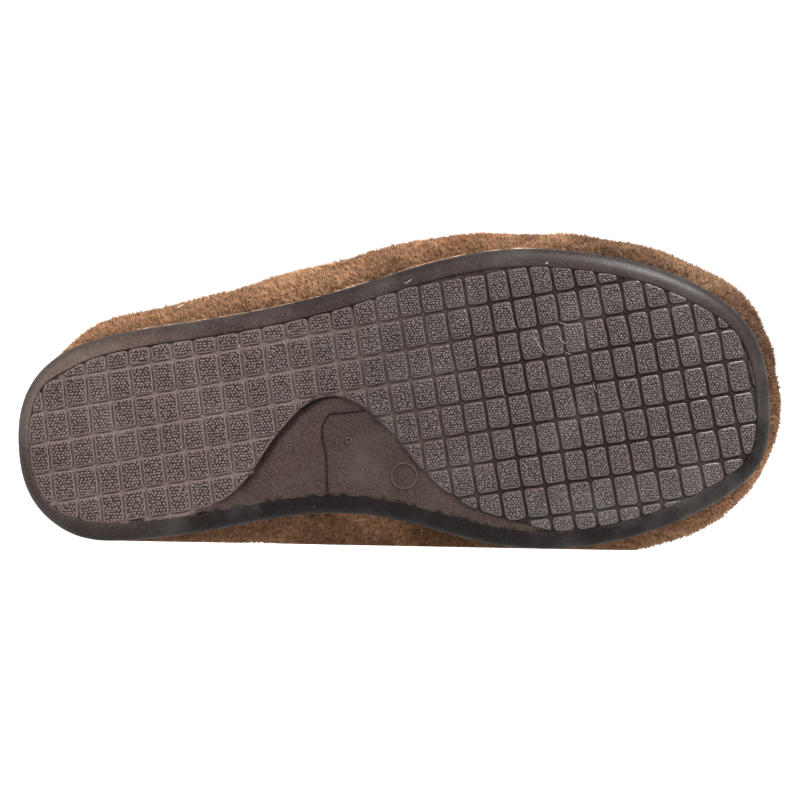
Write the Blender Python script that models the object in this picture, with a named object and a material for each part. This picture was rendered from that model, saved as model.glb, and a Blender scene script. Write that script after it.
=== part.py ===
"""House slipper for the right foot, lying on its medial side.

Three pieces: a moulded rubber outsole with a block tread, a hollow plush upper and a footbed.
Each is modelled in the shoe's own axes, in millimetres: x runs from heel to toe, y to the medial
side and z up from the ground. An empty then lays the shoe down with its tread facing -Y.
"""
import math
from collections import namedtuple

import bmesh
import bpy
import numpy as np
from mathutils import Matrix, Vector
from mathutils.geometry import delaunay_2d_cdt

MM = 0.001

Section = namedtuple("Section", "x lateral medial")
Height = namedtuple("Height", "x z")
Spot = namedtuple("Spot", "x y")
Fan = namedtuple("Fan", "outline opening")
GridLine = namedtuple("GridLine", "column x y lean row_pitch")

# Outline of the sole seen from below, a row for each section across the shoe
SOLE_SECTIONS = (
    Section(3.0, -17.3, 17.7),
    Section(9.0, -26.8, 26.6),
    Section(20.0, -34.6, 34.2),
    Section(40.0, -39.9, 36.9),
    Section(70.0, -42.6, 35.3),
    Section(100.0, -45.9, 32.2),
    Section(130.0, -51.6, 34.6),
    Section(150.0, -56.4, 40.6),
    Section(170.0, -59.8, 47.3),
    Section(190.0, -60.7, 51.0),
    Section(210.0, -58.4, 51.0),
    Section(230.0, -53.8, 47.9),
    Section(250.0, -45.7, 41.8),
    Section(265.0, -36.0, 34.4),
    Section(274.0, -26.0, 26.6),
    Section(278.8, -13.5, 15.0),
)
SOLE_HEEL_TIP = Spot(0.0, 0.0)
SOLE_TOE_TIP = Spot(280.0, 0.8)

# Outline of the plush at its widest, a row for each section, and the nap that stands on its cloth
PLUSH_SECTIONS = (
    Section(4.5, -22.0, 22.0),
    Section(13.5, -33.4, 32.6),
    Section(26.6, -43.4, 40.5),
    Section(37.0, -46.9, 42.8),
    Section(57.5, -50.7, 43.9),
    Section(78.0, -53.6, 44.3),
    Section(98.7, -58.2, 47.2),
    Section(130.0, -64.3, 51.5),
    Section(150.0, -67.5, 54.7),
    Section(171.0, -69.2, 57.2),
    Section(191.5, -68.3, 58.7),
    Section(212.0, -66.0, 58.4),
    Section(232.5, -61.8, 56.0),
    Section(253.0, -54.3, 50.3),
    Section(268.5, -45.2, 42.2),
    Section(278.0, -35.4, 31.8),
    Section(285.3, -18.8, 15.5),
)
PLUSH_HEEL_TIP = Spot(-0.3, 0.0)
PLUSH_TOE_TIP = Spot(287.7, -2.0)
NAP = 2.0

# Heights along the shoe above the ground: seat of the sole, and crown of the last
SEAT_HEIGHTS = (
    Height(0.0, 16.0),
    Height(60.0, 15.2),
    Height(110.0, 12.0),
    Height(160.0, 8.3),
    Height(212.0, 7.4),
    Height(250.0, 10.2),
    Height(280.0, 15.0),
)
CROWN_HEIGHTS = (
    Height(0.0, 84.0),
    Height(55.0, 83.0),
    Height(85.0, 83.0),
    Height(120.0, 86.0),
    Height(150.0, 86.0),
    Height(172.0, 81.5),
    Height(192.0, 76.0),
    Height(220.0, 68.0),
    Height(250.0, 61.0),
    Height(288.0, 55.0),
)

# Sole
RIM_WIDTH = 6.2
RIM_HEIGHT = 4.5
ARCH_RISE = 2.5
ARCH_SPAN = (85.0, 155.0)
SPRING_START = 212.0
TOE_SPRING = 9.0
LIP_HEIGHT = 7.5
LIP_WALL = 2.0
BORDER_GROOVE = 1.1
GROOVE_DEPTH = 0.9
GROOVE_WIDTH = 1.5
SMALLEST_BLOCK = 6.0
PANEL_DEPTH = 1.8
PANEL_BLEND = 3
WAVE = (
    Spot(81.0, 19.6),
    Spot(97.4, 0.0),
    Spot(108.0, -9.0),
    Spot(117.0, -11.3),
    Spot(127.0, -7.6),
    Spot(139.0, 4.6),
    Spot(151.0, 21.0),
    Spot(165.0, 32.8),
    Spot(178.0, 38.4),
)
WAVE_HEEL_X = 62.0
WAVE_TOE_X = 194.0

# Grid of the tread blocks, a row for some of its lines across the shoe: the line's number, where it
# crosses row 0, its lean in degrees and the pitch of the blocks along it
BLOCK_GRID = (
    GridLine(-5, 3.6, 10.2, 2.3, 11.25),
    GridLine(0, 45.2, 6.4, 2.7, 11.28),
    GridLine(3, 69.9, 4.2, 3.2, 11.3),
    GridLine(9, 122.3, -1.1, 4.9, 11.35),
    GridLine(15, 173.3, -5.9, 5.8, 11.5),
    GridLine(22, 230.8, -10.5, 6.9, 11.76),
    GridLine(28, 280.0, -14.8, 7.8, 11.95),
)
GRID_ROWS = (-6, 7)

# Upper
WALL = 3.0
CLEARANCE = 0.3
BULGE_RISE = 11.0
SPINE = (55.0, 192.0)
DOME_PLAN_POWER = 2.0
DOME_HEIGHT_POWER = 1.7
OPENING_CENTRE = 85.0
OPENING_HALF_LENGTH = 66.0
OPENING_HALF_WIDTH = 31.0
FAN = (Fan(0.0, 0.0), Fan(0.17, 0.22), Fan(0.34, 0.48), Fan(0.55, 0.72), Fan(0.75, 0.87), Fan(1.0, 1.0))
HEM_RISE = 1.2
HEM_ROLL = 1.5
HEM_START = 0.90
HEM_STEP = 0.02

# Footbed
FOOTBED = 6.0
FOOTBED_CROWN = 1.2
FOOTBED_SHOULDER = 8.0

# Lie of the shoe on its side
LEAN = math.radians(4.0)
WAIST_X = 115.0
REST_SOFTNESS = 1.5

# Facets
RING = 96
SPLINE_STEPS = 24
ROLL_STEPS = 4
TUCK_STEPS = 3
DOME_STEPS = 7
WAVE_STEPS = 33
CREASE_ANGLE = math.radians(35.0)
REST_ROUNDS = 6


def spline(knots, values, queries):
    """Read a smooth curve through short columns, with end slopes taken from their end rows."""
    knots = np.asarray(knots, float)
    values = np.asarray(values, float)
    queries = np.clip(queries, knots[0], knots[-1])
    slopes = np.gradient(values, knots)
    index = np.clip(np.searchsorted(knots, queries) - 1, 0, len(knots) - 2)
    step = knots[index + 1] - knots[index]
    u = (queries - knots[index]) / step
    rise = (2 * u**3 - 3 * u**2 + 1) * values[index] + (3 * u**2 - 2 * u**3) * values[index + 1]
    return rise + step * ((u**3 - 2 * u**2 + u) * slopes[index] + (u**3 - u**2) * slopes[index + 1])


def column(rows, name):
    """Return one column of a table."""
    return np.array([getattr(row, name) for row in rows])


def closed_curve(sections, heel_tip, toe_tip):
    """Return fine points of the closed smooth curve round an outline table, and its toe index."""
    medial = [(row.x, row.medial) for row in sections]
    lateral = [(row.x, row.lateral) for row in reversed(sections)]
    points = np.array([heel_tip] + medial + [toe_tip] + lateral)
    count = len(points)
    chord = np.linalg.norm(np.roll(points, -1, axis=0) - points, axis=1)
    before = np.roll(chord, 1)
    matrix = np.zeros((count, count))
    for i in range(count):
        matrix[i, i - 1] = before[i]
        matrix[i, i] = 2 * (before[i] + chord[i])
        matrix[i, (i + 1) % count] = chord[i]
    ahead = (np.roll(points, -1, axis=0) - points) / chord[:, None]
    bend = np.linalg.solve(matrix, 6 * (ahead - np.roll(ahead, 1, axis=0)))
    fine = []
    for i in range(count):
        j = (i + 1) % count
        for u in np.arange(SPLINE_STEPS) / SPLINE_STEPS:
            a = 1 - u
            sag = ((a**3 - a) * bend[i] + (u**3 - u) * bend[j]) * chord[i] ** 2 / 6
            fine.append(a * points[i] + u * points[j] + sag)
    return np.array(fine), (len(sections) + 1) * SPLINE_STEPS


def even_ring(fine, toe):
    """Return RING points: half along the medial side from heel to toe, half back along the lateral."""
    ring = []
    for side in (fine[:toe + 1], np.vstack([fine[toe:], fine[:1]])):
        length = np.concatenate([[0.0], np.cumsum(np.linalg.norm(np.diff(side, axis=0), axis=1))])
        at = np.linspace(0.0, length[-1], RING // 2 + 1)[:-1]
        ring.append(np.column_stack([np.interp(at, length, side[:, 0]), np.interp(at, length, side[:, 1])]))
    return np.vstack(ring)


def inset(ring, distance):
    """Move a ring inwards along its normals by a distance."""
    along = np.roll(ring, -1, axis=0) - np.roll(ring, 1, axis=0)
    along /= np.linalg.norm(along, axis=1)[:, None]
    outwards = np.column_stack([-along[:, 1], along[:, 0]])
    return ring - outwards * distance


def bottom(x):
    """Return the height of the tread's wearing surface: flat heel and ball, arch and toe spring."""
    arch = np.clip((x - ARCH_SPAN[0]) / (ARCH_SPAN[1] - ARCH_SPAN[0]), 0.0, 1.0)
    spring = np.clip((x - SPRING_START) / (SOLE_TOE_TIP.x - SPRING_START), 0.0, None)
    return ARCH_RISE * np.sin(math.pi * arch) ** 2 + TOE_SPRING * spring**2


def seat(x):
    """Return the height of the sole's seat, where footbed and upper stand."""
    return spline(column(SEAT_HEIGHTS, "x"), column(SEAT_HEIGHTS, "z"), x)


def lip(x):
    """Return the height of the top of the lip round the seat."""
    return seat(x) + LIP_HEIGHT


def at_height(ring, height):
    """Stack plan points and their heights into points in space."""
    return np.column_stack([ring, np.broadcast_to(height, len(ring))])


def inside(point, loop):
    """Say whether a plan point lies inside a closed loop."""
    after = np.roll(loop, -1, axis=0)
    crosses = (loop[:, 1] > point[1]) != (after[:, 1] > point[1])
    rise = np.where(crosses, after[:, 1] - loop[:, 1], 1.0)
    at = loop[:, 0] + (point[1] - loop[:, 1]) / rise * (after[:, 0] - loop[:, 0])
    return np.count_nonzero(crosses & (point[0] < at)) % 2 == 1


def clip_to_cell(loop, cell, margin):
    """Cut a closed loop to a counter-clockwise cell of the block grid, a margin inside the cell's sides."""
    for start, end in zip(cell, np.roll(cell, -1, axis=0)):
        along = (end - start) / np.linalg.norm(end - start)
        depth = (loop - start) @ np.array([-along[1], along[0]]) - margin
        kept = []
        for i in range(len(loop)):
            j = (i + 1) % len(loop)
            if depth[i] >= 0:
                kept.append(loop[i])
            if depth[i] * depth[j] < 0:
                kept.append(loop[i] + (loop[j] - loop[i]) * depth[i] / (depth[i] - depth[j]))
        if len(kept) < 3:
            return None
        loop = np.array(kept)
    return loop


def area(loop):
    """Return the area of a closed plan loop."""
    after = np.roll(loop, -1, axis=0)
    return abs(np.sum(loop[:, 0] * after[:, 1] - loop[:, 1] * after[:, 0])) / 2


def wave_ends(edge):
    """Return the two places on the medial half of a ring where the waist panel's wave meets it."""
    medial = edge[:RING // 2]
    return [int(np.argmin(abs(medial[:, 0] - x))) for x in (WAVE_HEEL_X, WAVE_TOE_X)]


def wave_curve(start, end):
    """Return the wave of the waist panel from one end on the rim to the other."""
    knots = np.vstack([start, WAVE, end])
    x = np.linspace(start[0], end[0], WAVE_STEPS + 1)
    return np.column_stack([x, spline(knots[:, 0], knots[:, 1], x)])


def grid_corner(line, row):
    """Return the plan point where a line across the block grid meets the edge of a row."""
    lines = column(BLOCK_GRID, "column")
    names = ("x", "y", "lean", "row_pitch")
    x, y, lean, pitch = (float(spline(lines, column(BLOCK_GRID, name), line)) for name in names)
    return x + row * pitch * math.tan(math.radians(lean)), y + row * pitch


def tread_blocks(edge):
    """Return the tread blocks as counter-clockwise loops, cut to the field inside the rim and the wave."""
    border = inset(edge, BORDER_GROOVE)
    first, last = wave_ends(border)
    wave = wave_curve(border[first], border[last])
    along_wave = np.gradient(wave, axis=0)
    along_wave /= np.linalg.norm(along_wave, axis=1)[:, None]
    wave = wave + np.column_stack([along_wave[:, 1], -along_wave[:, 0]]) * BORDER_GROOVE
    field = np.vstack([border[:first], wave, border[last + 1:]])
    blocks = []
    for i in range(BLOCK_GRID[0].column, BLOCK_GRID[-1].column):
        for j in range(*GRID_ROWS):
            cell = np.array([grid_corner(*at) for at in ((i, j), (i + 1, j), (i + 1, j + 1), (i, j + 1))])
            block = clip_to_cell(field, cell, GROOVE_WIDTH / 2)
            if block is not None and area(block) > SMALLEST_BLOCK:
                blocks.append(block[::-1])
    return blocks


class Terrace:
    """A face of flat-topped steps over a plan, with upright walls between neighbours."""

    def __init__(self, mesh):
        self.mesh = mesh
        self.corners = {}

    def corner(self, place, spot, height):
        """Return the one vertex at a plan corner and height."""
        key = (place, round(float(height), 4))
        if key not in self.corners:
            self.corners[key] = self.mesh.verts.new((spot[0], spot[1], key[1]))
        return self.corners[key]

    def wall(self, places, spots, near, far, levels):
        """Close the step between the two heights at both ends of an edge."""
        loop = []
        for end, place in enumerate(places):
            low, high = sorted((near[end], far[end]))
            between = sorted(z for z in levels[place] if low <= z <= high)
            if (near[end] > far[end]) != (end == 1):
                between.reverse()
            loop += [self.corner(place, spots[end], z) for z in between]
        unique = list(dict.fromkeys(loop))
        if len(unique) > 2:
            self.mesh.faces.new(unique)


def add_tread(mesh, edge):
    """Add the tread field, its blocks and the waist panel inside the rim's ring, and return that ring."""
    blocks = tread_blocks(edge)
    first, last = wave_ends(edge)
    wave = wave_curve(edge[first], edge[last])
    plan = [Vector(point) for point in np.vstack([edge, wave[1:-1]] + blocks)]
    lines = [(i, (i + 1) % RING) for i in range(RING)]
    inner = list(range(RING, RING + len(wave) - 2))
    path = [first] + inner + [last]
    lines += list(zip(path[:-1], path[1:]))
    loops = []
    start = RING + len(inner)
    for block in blocks:
        loops.append(list(range(start, start + len(block))))
        start += len(block)
    spots, _, triangles, sources, _, owners = delaunay_2d_cdt(plan, lines, loops, 0, 1e-5)
    ring_at = {source: place for place, each in enumerate(sources) for source in each if source < RING}

    rim = bottom(edge[:, 0])
    for i in range(first, last + 1):
        blend = min(i - first, last - i, PANEL_BLEND) / PANEL_BLEND
        rim[i] += PANEL_DEPTH * blend
    rim_at = {ring_at[i]: round(float(rim[i]), 4) for i in range(RING)}

    def level(place, kind):
        """Return the height of a kind of surface at a plan corner."""
        if kind == "rim":
            return rim_at[place]
        deeper = {"block": 0.0, "groove": GROOVE_DEPTH, "panel": PANEL_DEPTH}[kind]
        return round(float(bottom(spots[place][0])) + deeper, 4)

    faces = []
    sides = {}
    for triangle, near_blocks in zip(triangles, owners):
        middle = np.mean([spots[place] for place in triangle], axis=0)
        if not inside(middle, edge):
            continue
        below_wave = wave[0, 0] < middle[0] < wave[-1, 0] and middle[1] > np.interp(middle[0], *wave.T)
        on_block = any(inside(middle, blocks[block]) for block in near_blocks)
        kind = "block" if on_block else "panel" if below_wave else "groove"
        faces.append((triangle, kind))
        for a, b in zip(triangle, triangle[1:] + triangle[:1]):
            sides.setdefault((min(a, b), max(a, b)), []).append(kind)
    levels = {}
    for (a, b), kinds in sides.items():
        if len(kinds) == 1:
            kinds.append("rim")
        for place in (a, b):
            levels.setdefault(place, set()).update(level(place, kind) for kind in kinds)

    terrace = Terrace(mesh)
    for triangle, kind in faces:
        mesh.faces.new([terrace.corner(place, spots[place], level(place, kind)) for place in triangle])
    for places, (near, far) in sides.items():
        if near != far:
            ends = [spots[place] for place in places]
            near_heights = [level(place, near) for place in places]
            far_heights = [level(place, far) for place in places]
            terrace.wall(places, ends, near_heights, far_heights, levels)
    return [terrace.corner(ring_at[i], edge[i], rim[i]) for i in range(RING)]


def add_ring(mesh, points):
    """Add a ring of vertices."""
    return [mesh.verts.new(point) for point in points]


def bridge(mesh, lower, upper):
    """Join two rings of the same count with a band of faces."""
    for i in range(len(lower)):
        j = (i + 1) % len(lower)
        mesh.faces.new((lower[i], lower[j], upper[j], upper[i]))


def cap(mesh, ring):
    """Close a ring with strips from its medial to its lateral half."""
    half = len(ring) // 2
    mesh.faces.new((ring[0], ring[1], ring[-1]))
    for i in range(1, half - 1):
        mesh.faces.new((ring[i], ring[i + 1], ring[-i - 1], ring[-i]))
    mesh.faces.new((ring[half - 1], ring[half], ring[half + 1]))


def make_outsole(outline):
    """Model the moulded sole: tread, rolled rim, side, lip and seat."""
    mesh = bmesh.new()
    edge = inset(outline, RIM_WIDTH)
    rings = [add_tread(mesh, edge)]
    start = np.array([vertex.co.z for vertex in rings[0]])
    top = lip(outline[:, 0])
    for step in range(1, ROLL_STEPS + 1):
        angle = math.pi / 2 * step / ROLL_STEPS
        ring = inset(outline, RIM_WIDTH * (1 - math.sin(angle)))
        rings.append(add_ring(mesh, at_height(ring, start + RIM_HEIGHT * (1 - math.cos(angle)))))
    rings.append(add_ring(mesh, at_height(outline, top)))
    inner = inset(outline, LIP_WALL)
    rings.append(add_ring(mesh, at_height(inner, top)))
    rings.append(add_ring(mesh, at_height(inner, seat(inner[:, 0]))))
    for lower, upper in zip(rings[:-1], rings[1:]):
        bridge(mesh, lower, upper)
    cap(mesh, rings[-1])
    return mesh


def rest_plane(outline):
    """Return the plane y = a + b x + c z that touches the medial rim at heel and ball, leaning by LEAN."""
    medial = outline[:RING // 2]
    heel = medial[:, 0] < WAIST_X
    slope = 0.0
    for _ in range(REST_ROUNDS):
        reach = medial[:, 1] - slope * medial[:, 0]
        back = medial[np.argmax(np.where(heel, reach, -np.inf))]
        front = medial[np.argmax(np.where(heel, -np.inf, reach))]
        slope = (front[1] - back[1]) / (front[0] - back[0])
    lean = math.tan(LEAN)
    return np.array([back[1] - slope * back[0] - lean * RIM_HEIGHT, slope, lean])


def press_flat(points, plane):
    """Flatten what would reach past the resting plane, with a soft edge round the flat."""
    limit = plane[0] + plane[1] * points[..., 0] + plane[2] * points[..., 2]
    over = points[..., 1] - limit
    soft = REST_SOFTNESS
    eased = np.where(over > soft, 0.0, np.where(over < -soft, over, -((over - soft) ** 2) / (4 * soft)))
    pressed = points.copy()
    pressed[..., 1] = limit + eased
    return pressed


class Last:
    """The form that the upper is drawn over, as a height over each plan point."""

    def __init__(self, skin):
        half = RING // 2
        self.skin = skin
        self.medial = skin[:half + 1]
        self.lateral = np.vstack([skin[half:], skin[:1]])[::-1]

    def centre(self, x):
        """Return the middle line of the shoe at a station."""
        return (self.side(self.medial, x) + self.side(self.lateral, x)) / 2

    @staticmethod
    def side(points, x):
        """Return how far one side of the outline reaches at a station."""
        return np.interp(x, points[:, 0], points[:, 1])

    def reach(self, x, y):
        """Return 0 for a plan point on the spine, 1 for one on the outline."""
        station = float(np.clip(x, *SPINE))
        middle = self.centre(station)
        if station == x:
            edge = self.side(self.medial if y > middle else self.lateral, x)
            return abs((y - middle) / (edge - middle))
        spokes = self.skin - (station, middle)
        angles = np.arctan2(spokes[:, 1], spokes[:, 0] * np.sign(x - station))
        order = np.argsort(angles)
        lengths = np.linalg.norm(spokes, axis=1)
        angle = math.atan2(y - middle, abs(x - station))
        return math.hypot(x - station, y - middle) / np.interp(angle, angles[order], lengths[order])

    def height(self, x, y):
        """Return the height of the last over a plan point."""
        base = lip(x) + BULGE_RISE
        crown = spline(column(CROWN_HEIGHTS, "x"), column(CROWN_HEIGHTS, "z"), x)
        dome = max(0.0, 1 - self.reach(x, y) ** DOME_PLAN_POWER) ** (1 / DOME_HEIGHT_POWER)
        return base + (crown - base) * dome


def opening_ring(last):
    """Return the plan of the collar's edge, fanned so that each point faces its place on the outline."""
    half = RING // 2
    share = np.arange(half + 1) / half
    turn = math.pi * spline(column(FAN, "outline"), column(FAN, "opening"), share)
    x = OPENING_CENTRE - OPENING_HALF_LENGTH * np.cos(turn)
    centre = np.array([last.centre(each) for each in x])
    medial = np.column_stack([x, centre + OPENING_HALF_WIDTH * np.sin(turn)])
    lateral = np.column_stack([x, centre - OPENING_HALF_WIDTH * np.sin(turn)])
    return np.vstack([medial, lateral[-2:0:-1]])


def upper_rows(outline, skin, plane):
    """Return the outer face of the upper, a ring for each row from the seat up to the collar."""
    tuck = inset(outline, LIP_WALL + CLEARANCE)
    sill = lip(outline[:, 0]) + CLEARANCE
    rows = [at_height(tuck, seat(tuck[:, 0]) + CLEARANCE), at_height(tuck, sill)]
    for step in range(1, TUCK_STEPS + 1):
        angle = math.pi / 2 * step / TUCK_STEPS
        height = sill + (lip(skin[:, 0]) + BULGE_RISE - sill) * (1 - math.cos(angle))
        rows.append(at_height(tuck + (skin - tuck) * math.sin(angle), height))
    last = Last(skin)
    opening = opening_ring(last)
    shares = [1 - math.cos(math.pi / 2 * step / DOME_STEPS) for step in range(1, DOME_STEPS)]
    shares = [share for share in shares if share < HEM_START] + [HEM_START, HEM_START + HEM_STEP, 1.0]
    for share in shares:
        plan = skin + (opening - skin) * share
        rows.append(at_height(plan, [last.height(*point) for point in plan]))
    return press_flat(np.array(rows), plane)


def row_normals(rows):
    """Return the outward normals of a grid of rings."""
    around = np.roll(rows, -1, axis=1) - np.roll(rows, 1, axis=1)
    up = np.gradient(rows, axis=0)
    normals = np.cross(up, around)
    return normals / np.linalg.norm(normals, axis=2)[..., None]


def make_upper(outline, skin, plane):
    """Model the hollow upper: outer face, turned hem at the collar and inner face."""
    mesh = bmesh.new()
    outer = upper_rows(outline, skin, plane)
    normals = row_normals(outer)
    inner = outer - normals * WALL
    foot = inset(outline, LIP_WALL + CLEARANCE + WALL)
    inner[0] = at_height(foot, seat(foot[:, 0]) + CLEARANCE)
    inner[1] = at_height(foot, outer[1, :, 2] + WALL / 2)
    outer[-2:] += normals[-2:] * HEM_RISE
    upwards = outer[-1] - outer[-2]
    upwards /= np.linalg.norm(upwards, axis=1)[:, None]
    crest = (outer[-1] + inner[-1]) / 2 + upwards * HEM_ROLL
    inner = np.delete(inner, -2, axis=0)
    rings = [add_ring(mesh, points) for points in [*outer, crest, *inner[::-1]]]
    for lower, upper in zip(rings, rings[1:] + rings[:1]):
        bridge(mesh, lower, upper)
    return mesh


def make_insole(outline):
    """Model the footbed, lightly crowned, inside the upper's lower edge."""
    mesh = bmesh.new()
    edge = inset(outline, LIP_WALL + WALL + 2 * CLEARANCE)
    base = seat(edge[:, 0]) + CLEARANCE
    raised = inset(edge, FOOTBED_SHOULDER)
    rings = [
        add_ring(mesh, at_height(edge, base)),
        add_ring(mesh, at_height(edge, base + FOOTBED - FOOTBED_CROWN)),
        add_ring(mesh, at_height(raised, seat(raised[:, 0]) + CLEARANCE + FOOTBED)),
    ]
    for lower, upper in zip(rings[:-1], rings[1:]):
        bridge(mesh, lower, upper)
    cap(mesh, rings[0])
    cap(mesh, rings[-1])
    return mesh


def material(name, colour, roughness):
    """Make a plain material."""
    finish = bpy.data.materials.new(name)
    finish.use_nodes = True
    shader = finish.node_tree.nodes["Principled BSDF"]
    shader.inputs["Base Color"].default_value = (*colour, 1.0)
    shader.inputs["Roughness"].default_value = roughness
    shader.inputs["Metallic"].default_value = 0.0
    return finish


def add_object(name, mesh, finish, parent):
    """Turn a modelled mesh into a named object under the empty."""
    bmesh.ops.recalc_face_normals(mesh, faces=mesh.faces[:])
    bmesh.ops.triangulate(mesh, faces=mesh.faces[:])
    bmesh.ops.scale(mesh, vec=(MM, MM, MM), verts=mesh.verts[:])
    data = bpy.data.meshes.new(name)
    mesh.to_mesh(data)
    mesh.free()
    data.shade_smooth()
    data.set_sharp_from_angle(angle=CREASE_ANGLE)
    data.materials.append(finish)
    piece = bpy.data.objects.new(name, data)
    bpy.context.scene.collection.objects.link(piece)
    piece.parent = parent
    return piece


def lay_down(holder, pieces, plane):
    """Turn the shoe so that its resting plane is the ground, its toe points to +X and its tread to -Y."""
    down = Vector((-plane[1], 1.0, -plane[2])).normalized()
    up = -down
    toe = (Vector((1.0, 0.0, 0.0)) - up * up.x).normalized()
    back = up.cross(toe)
    turn = Matrix((toe, back, up))
    points = np.array([turn @ vertex.co for piece in pieces for vertex in piece.data.vertices])
    low = points.min(axis=0)
    high = points.max(axis=0)
    holder.rotation_euler = turn.to_euler()
    holder.location = (-(low[0] + high[0]) / 2, -(low[1] + high[1]) / 2, -low[2])


def main():
    """Model the slipper."""
    for old in list(bpy.data.objects):
        bpy.data.objects.remove(old, do_unlink=True)
    outline = even_ring(*closed_curve(SOLE_SECTIONS, SOLE_HEEL_TIP, SOLE_TOE_TIP))
    skin = inset(even_ring(*closed_curve(PLUSH_SECTIONS, PLUSH_HEEL_TIP, PLUSH_TOE_TIP)), NAP)
    plane = rest_plane(outline)
    holder = bpy.data.objects.new("slipper", None)
    bpy.context.scene.collection.objects.link(holder)
    rubber = material("rubber", (0.105, 0.082, 0.078), 0.55)
    plush = material("plush", (0.27, 0.15, 0.085), 0.95)
    fleece = material("fleece", (0.40, 0.29, 0.20), 0.95)
    pieces = [
        add_object("outsole", make_outsole(outline), rubber, holder),
        add_object("upper", make_upper(outline, skin, plane), plush, holder),
        add_object("insole", make_insole(outline), fleece, holder),
    ]
    lay_down(holder, pieces, plane)


main()
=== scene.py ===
"""Looks of a plush house slipper for the right foot that lies on its medial side.

Shapes are worked out in the shoe's own axes, in mm: x runs from heel to toe, y to the medial side and
z up from the tread. Each piece is then laid down on the floor, in metres, and the finishes map places
back to the shoe's axes.
"""
from __future__ import annotations

import logging
import math
from dataclasses import dataclass
from enum import Enum

import bmesh
import bpy
import numpy as np
from mathutils import Matrix, Vector
from mathutils.geometry import delaunay_2d_cdt


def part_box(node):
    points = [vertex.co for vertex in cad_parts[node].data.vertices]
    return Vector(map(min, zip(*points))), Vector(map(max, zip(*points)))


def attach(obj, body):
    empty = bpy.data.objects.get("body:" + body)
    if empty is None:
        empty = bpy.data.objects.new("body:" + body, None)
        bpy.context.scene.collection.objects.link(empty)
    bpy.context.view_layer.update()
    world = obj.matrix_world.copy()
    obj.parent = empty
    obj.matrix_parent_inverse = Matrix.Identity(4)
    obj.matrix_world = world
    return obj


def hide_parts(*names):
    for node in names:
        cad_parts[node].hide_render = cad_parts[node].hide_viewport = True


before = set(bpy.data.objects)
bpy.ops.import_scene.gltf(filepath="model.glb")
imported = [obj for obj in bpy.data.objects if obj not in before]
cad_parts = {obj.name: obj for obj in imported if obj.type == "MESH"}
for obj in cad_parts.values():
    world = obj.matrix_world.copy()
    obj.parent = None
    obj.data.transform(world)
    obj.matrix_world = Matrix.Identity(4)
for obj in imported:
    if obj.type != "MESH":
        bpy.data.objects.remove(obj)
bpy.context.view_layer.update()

MM = 0.001
BODY = "root"
LOG = logging.getLogger("slipper")

Colour = tuple[float, float, float]
Tints = tuple[Colour, Colour]
Place = tuple[float, float, float]
Span = tuple[float, float]
Array = np.ndarray
Numbers = np.ndarray | float
Piece = bpy.types.Object
Plug = bpy.types.NodeSocket

BLACK: Colour = (0.0, 0.0, 0.0)
WHITE: Colour = (1.0, 1.0, 1.0)
NOISE_MIDDLE: Span = (0.3, 0.7)


def grey(value: float) -> Colour:
    """Return a neutral colour."""
    return (value, value, value)


class Slot(Enum):
    """Material slots of the record."""

    RUBBER = "rubber"
    PLUSH = "plush"
    FLEECE = "fleece"


class Node(Enum):
    """Solids of the frame that the dressed pieces stand for."""

    OUTSOLE = "outsole"
    UPPER = "upper"
    INSOLE = "insole"


class Socket(Enum):
    """Kinds of sockets on the shared node groups."""

    VALUE = "NodeSocketFloat"
    VECTOR = "NodeSocketVector"


@dataclass(frozen=True)
class Section:
    """Reach of an outline to both sides at one station of the shoe."""

    x: float
    lateral: float
    medial: float


@dataclass(frozen=True)
class Station:
    """A height at one station of the shoe."""

    x: float
    z: float


@dataclass(frozen=True)
class Spot:
    """A plan point of the shoe."""

    x: float
    y: float


@dataclass(frozen=True)
class Fan:
    """Share of the way round the outline, and the share of the collar's half turn that it faces."""

    outline: float
    opening: float


@dataclass(frozen=True)
class GridStation:
    """A line across the block grid: its column number, where it crosses row 0, its lean and row pitch."""

    column: int
    x: float
    y: float
    lean: float
    row_pitch: float


@dataclass(frozen=True)
class PebbleStation:
    """Tread at one station of the shoe: its pebbles, the painted shade between them and painted highlight on
    their tops, and the grooves' width.
    """

    x: float
    radius: float
    height: float
    stretch: float
    pitch: float
    valley_shade: float
    crest_highlight: float
    groove: float


@dataclass(frozen=True)
class WallStep:
    """A step of a block's wall: how far inside its outline, its share of the depth, and its painted
    lightness, dark at the wall's foot and light at its top edge.
    """

    inwards: float
    depth: float
    wear: float


@dataclass(frozen=True)
class DomeStep:
    """A ring of a pebble: its share of the radius and of the height, and its painted lightness, from painted
    shade at the foot to painted highlight at the top.
    """

    reach: float
    rise: float
    light: float


@dataclass(frozen=True)
class Thread:
    """A loose pale thread: where it lies, its direction and its length."""

    place: Place
    way: Place
    length: float


@dataclass(frozen=True)
class Scuff:
    """A thin pale line of scraped rubber between two plan points."""

    start: Spot
    end: Spot
    radius: float


@dataclass(frozen=True)
class Crease:
    """A soft trough between two points on the upper."""

    start: Place
    end: Place
    width: float
    depth: float

    def share(self, points: Array) -> Array:
        """Say how much of the trough lies at points.

        Args:
            points: Points of the upper.

        Returns:
            A share for each point, 1 on the trough's line.
        """
        start, end = np.array(self.start), np.array(self.end)
        way = end - start
        along = np.clip((points - start) @ way / (way @ way), 0.0, 1.0)
        gap = np.linalg.norm(points - start - along[..., None] * way, axis=-1)
        return np.exp(-((gap / self.width) ** 2))


@dataclass(frozen=True)
class Wave:
    """A random wave: its length and its size."""

    length: float
    size: float

    def field(self, points: Array, seed: int) -> Array:
        """Return how far the wave moves each point."""
        return self.size * ripple(points, self.length, seed)


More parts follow.
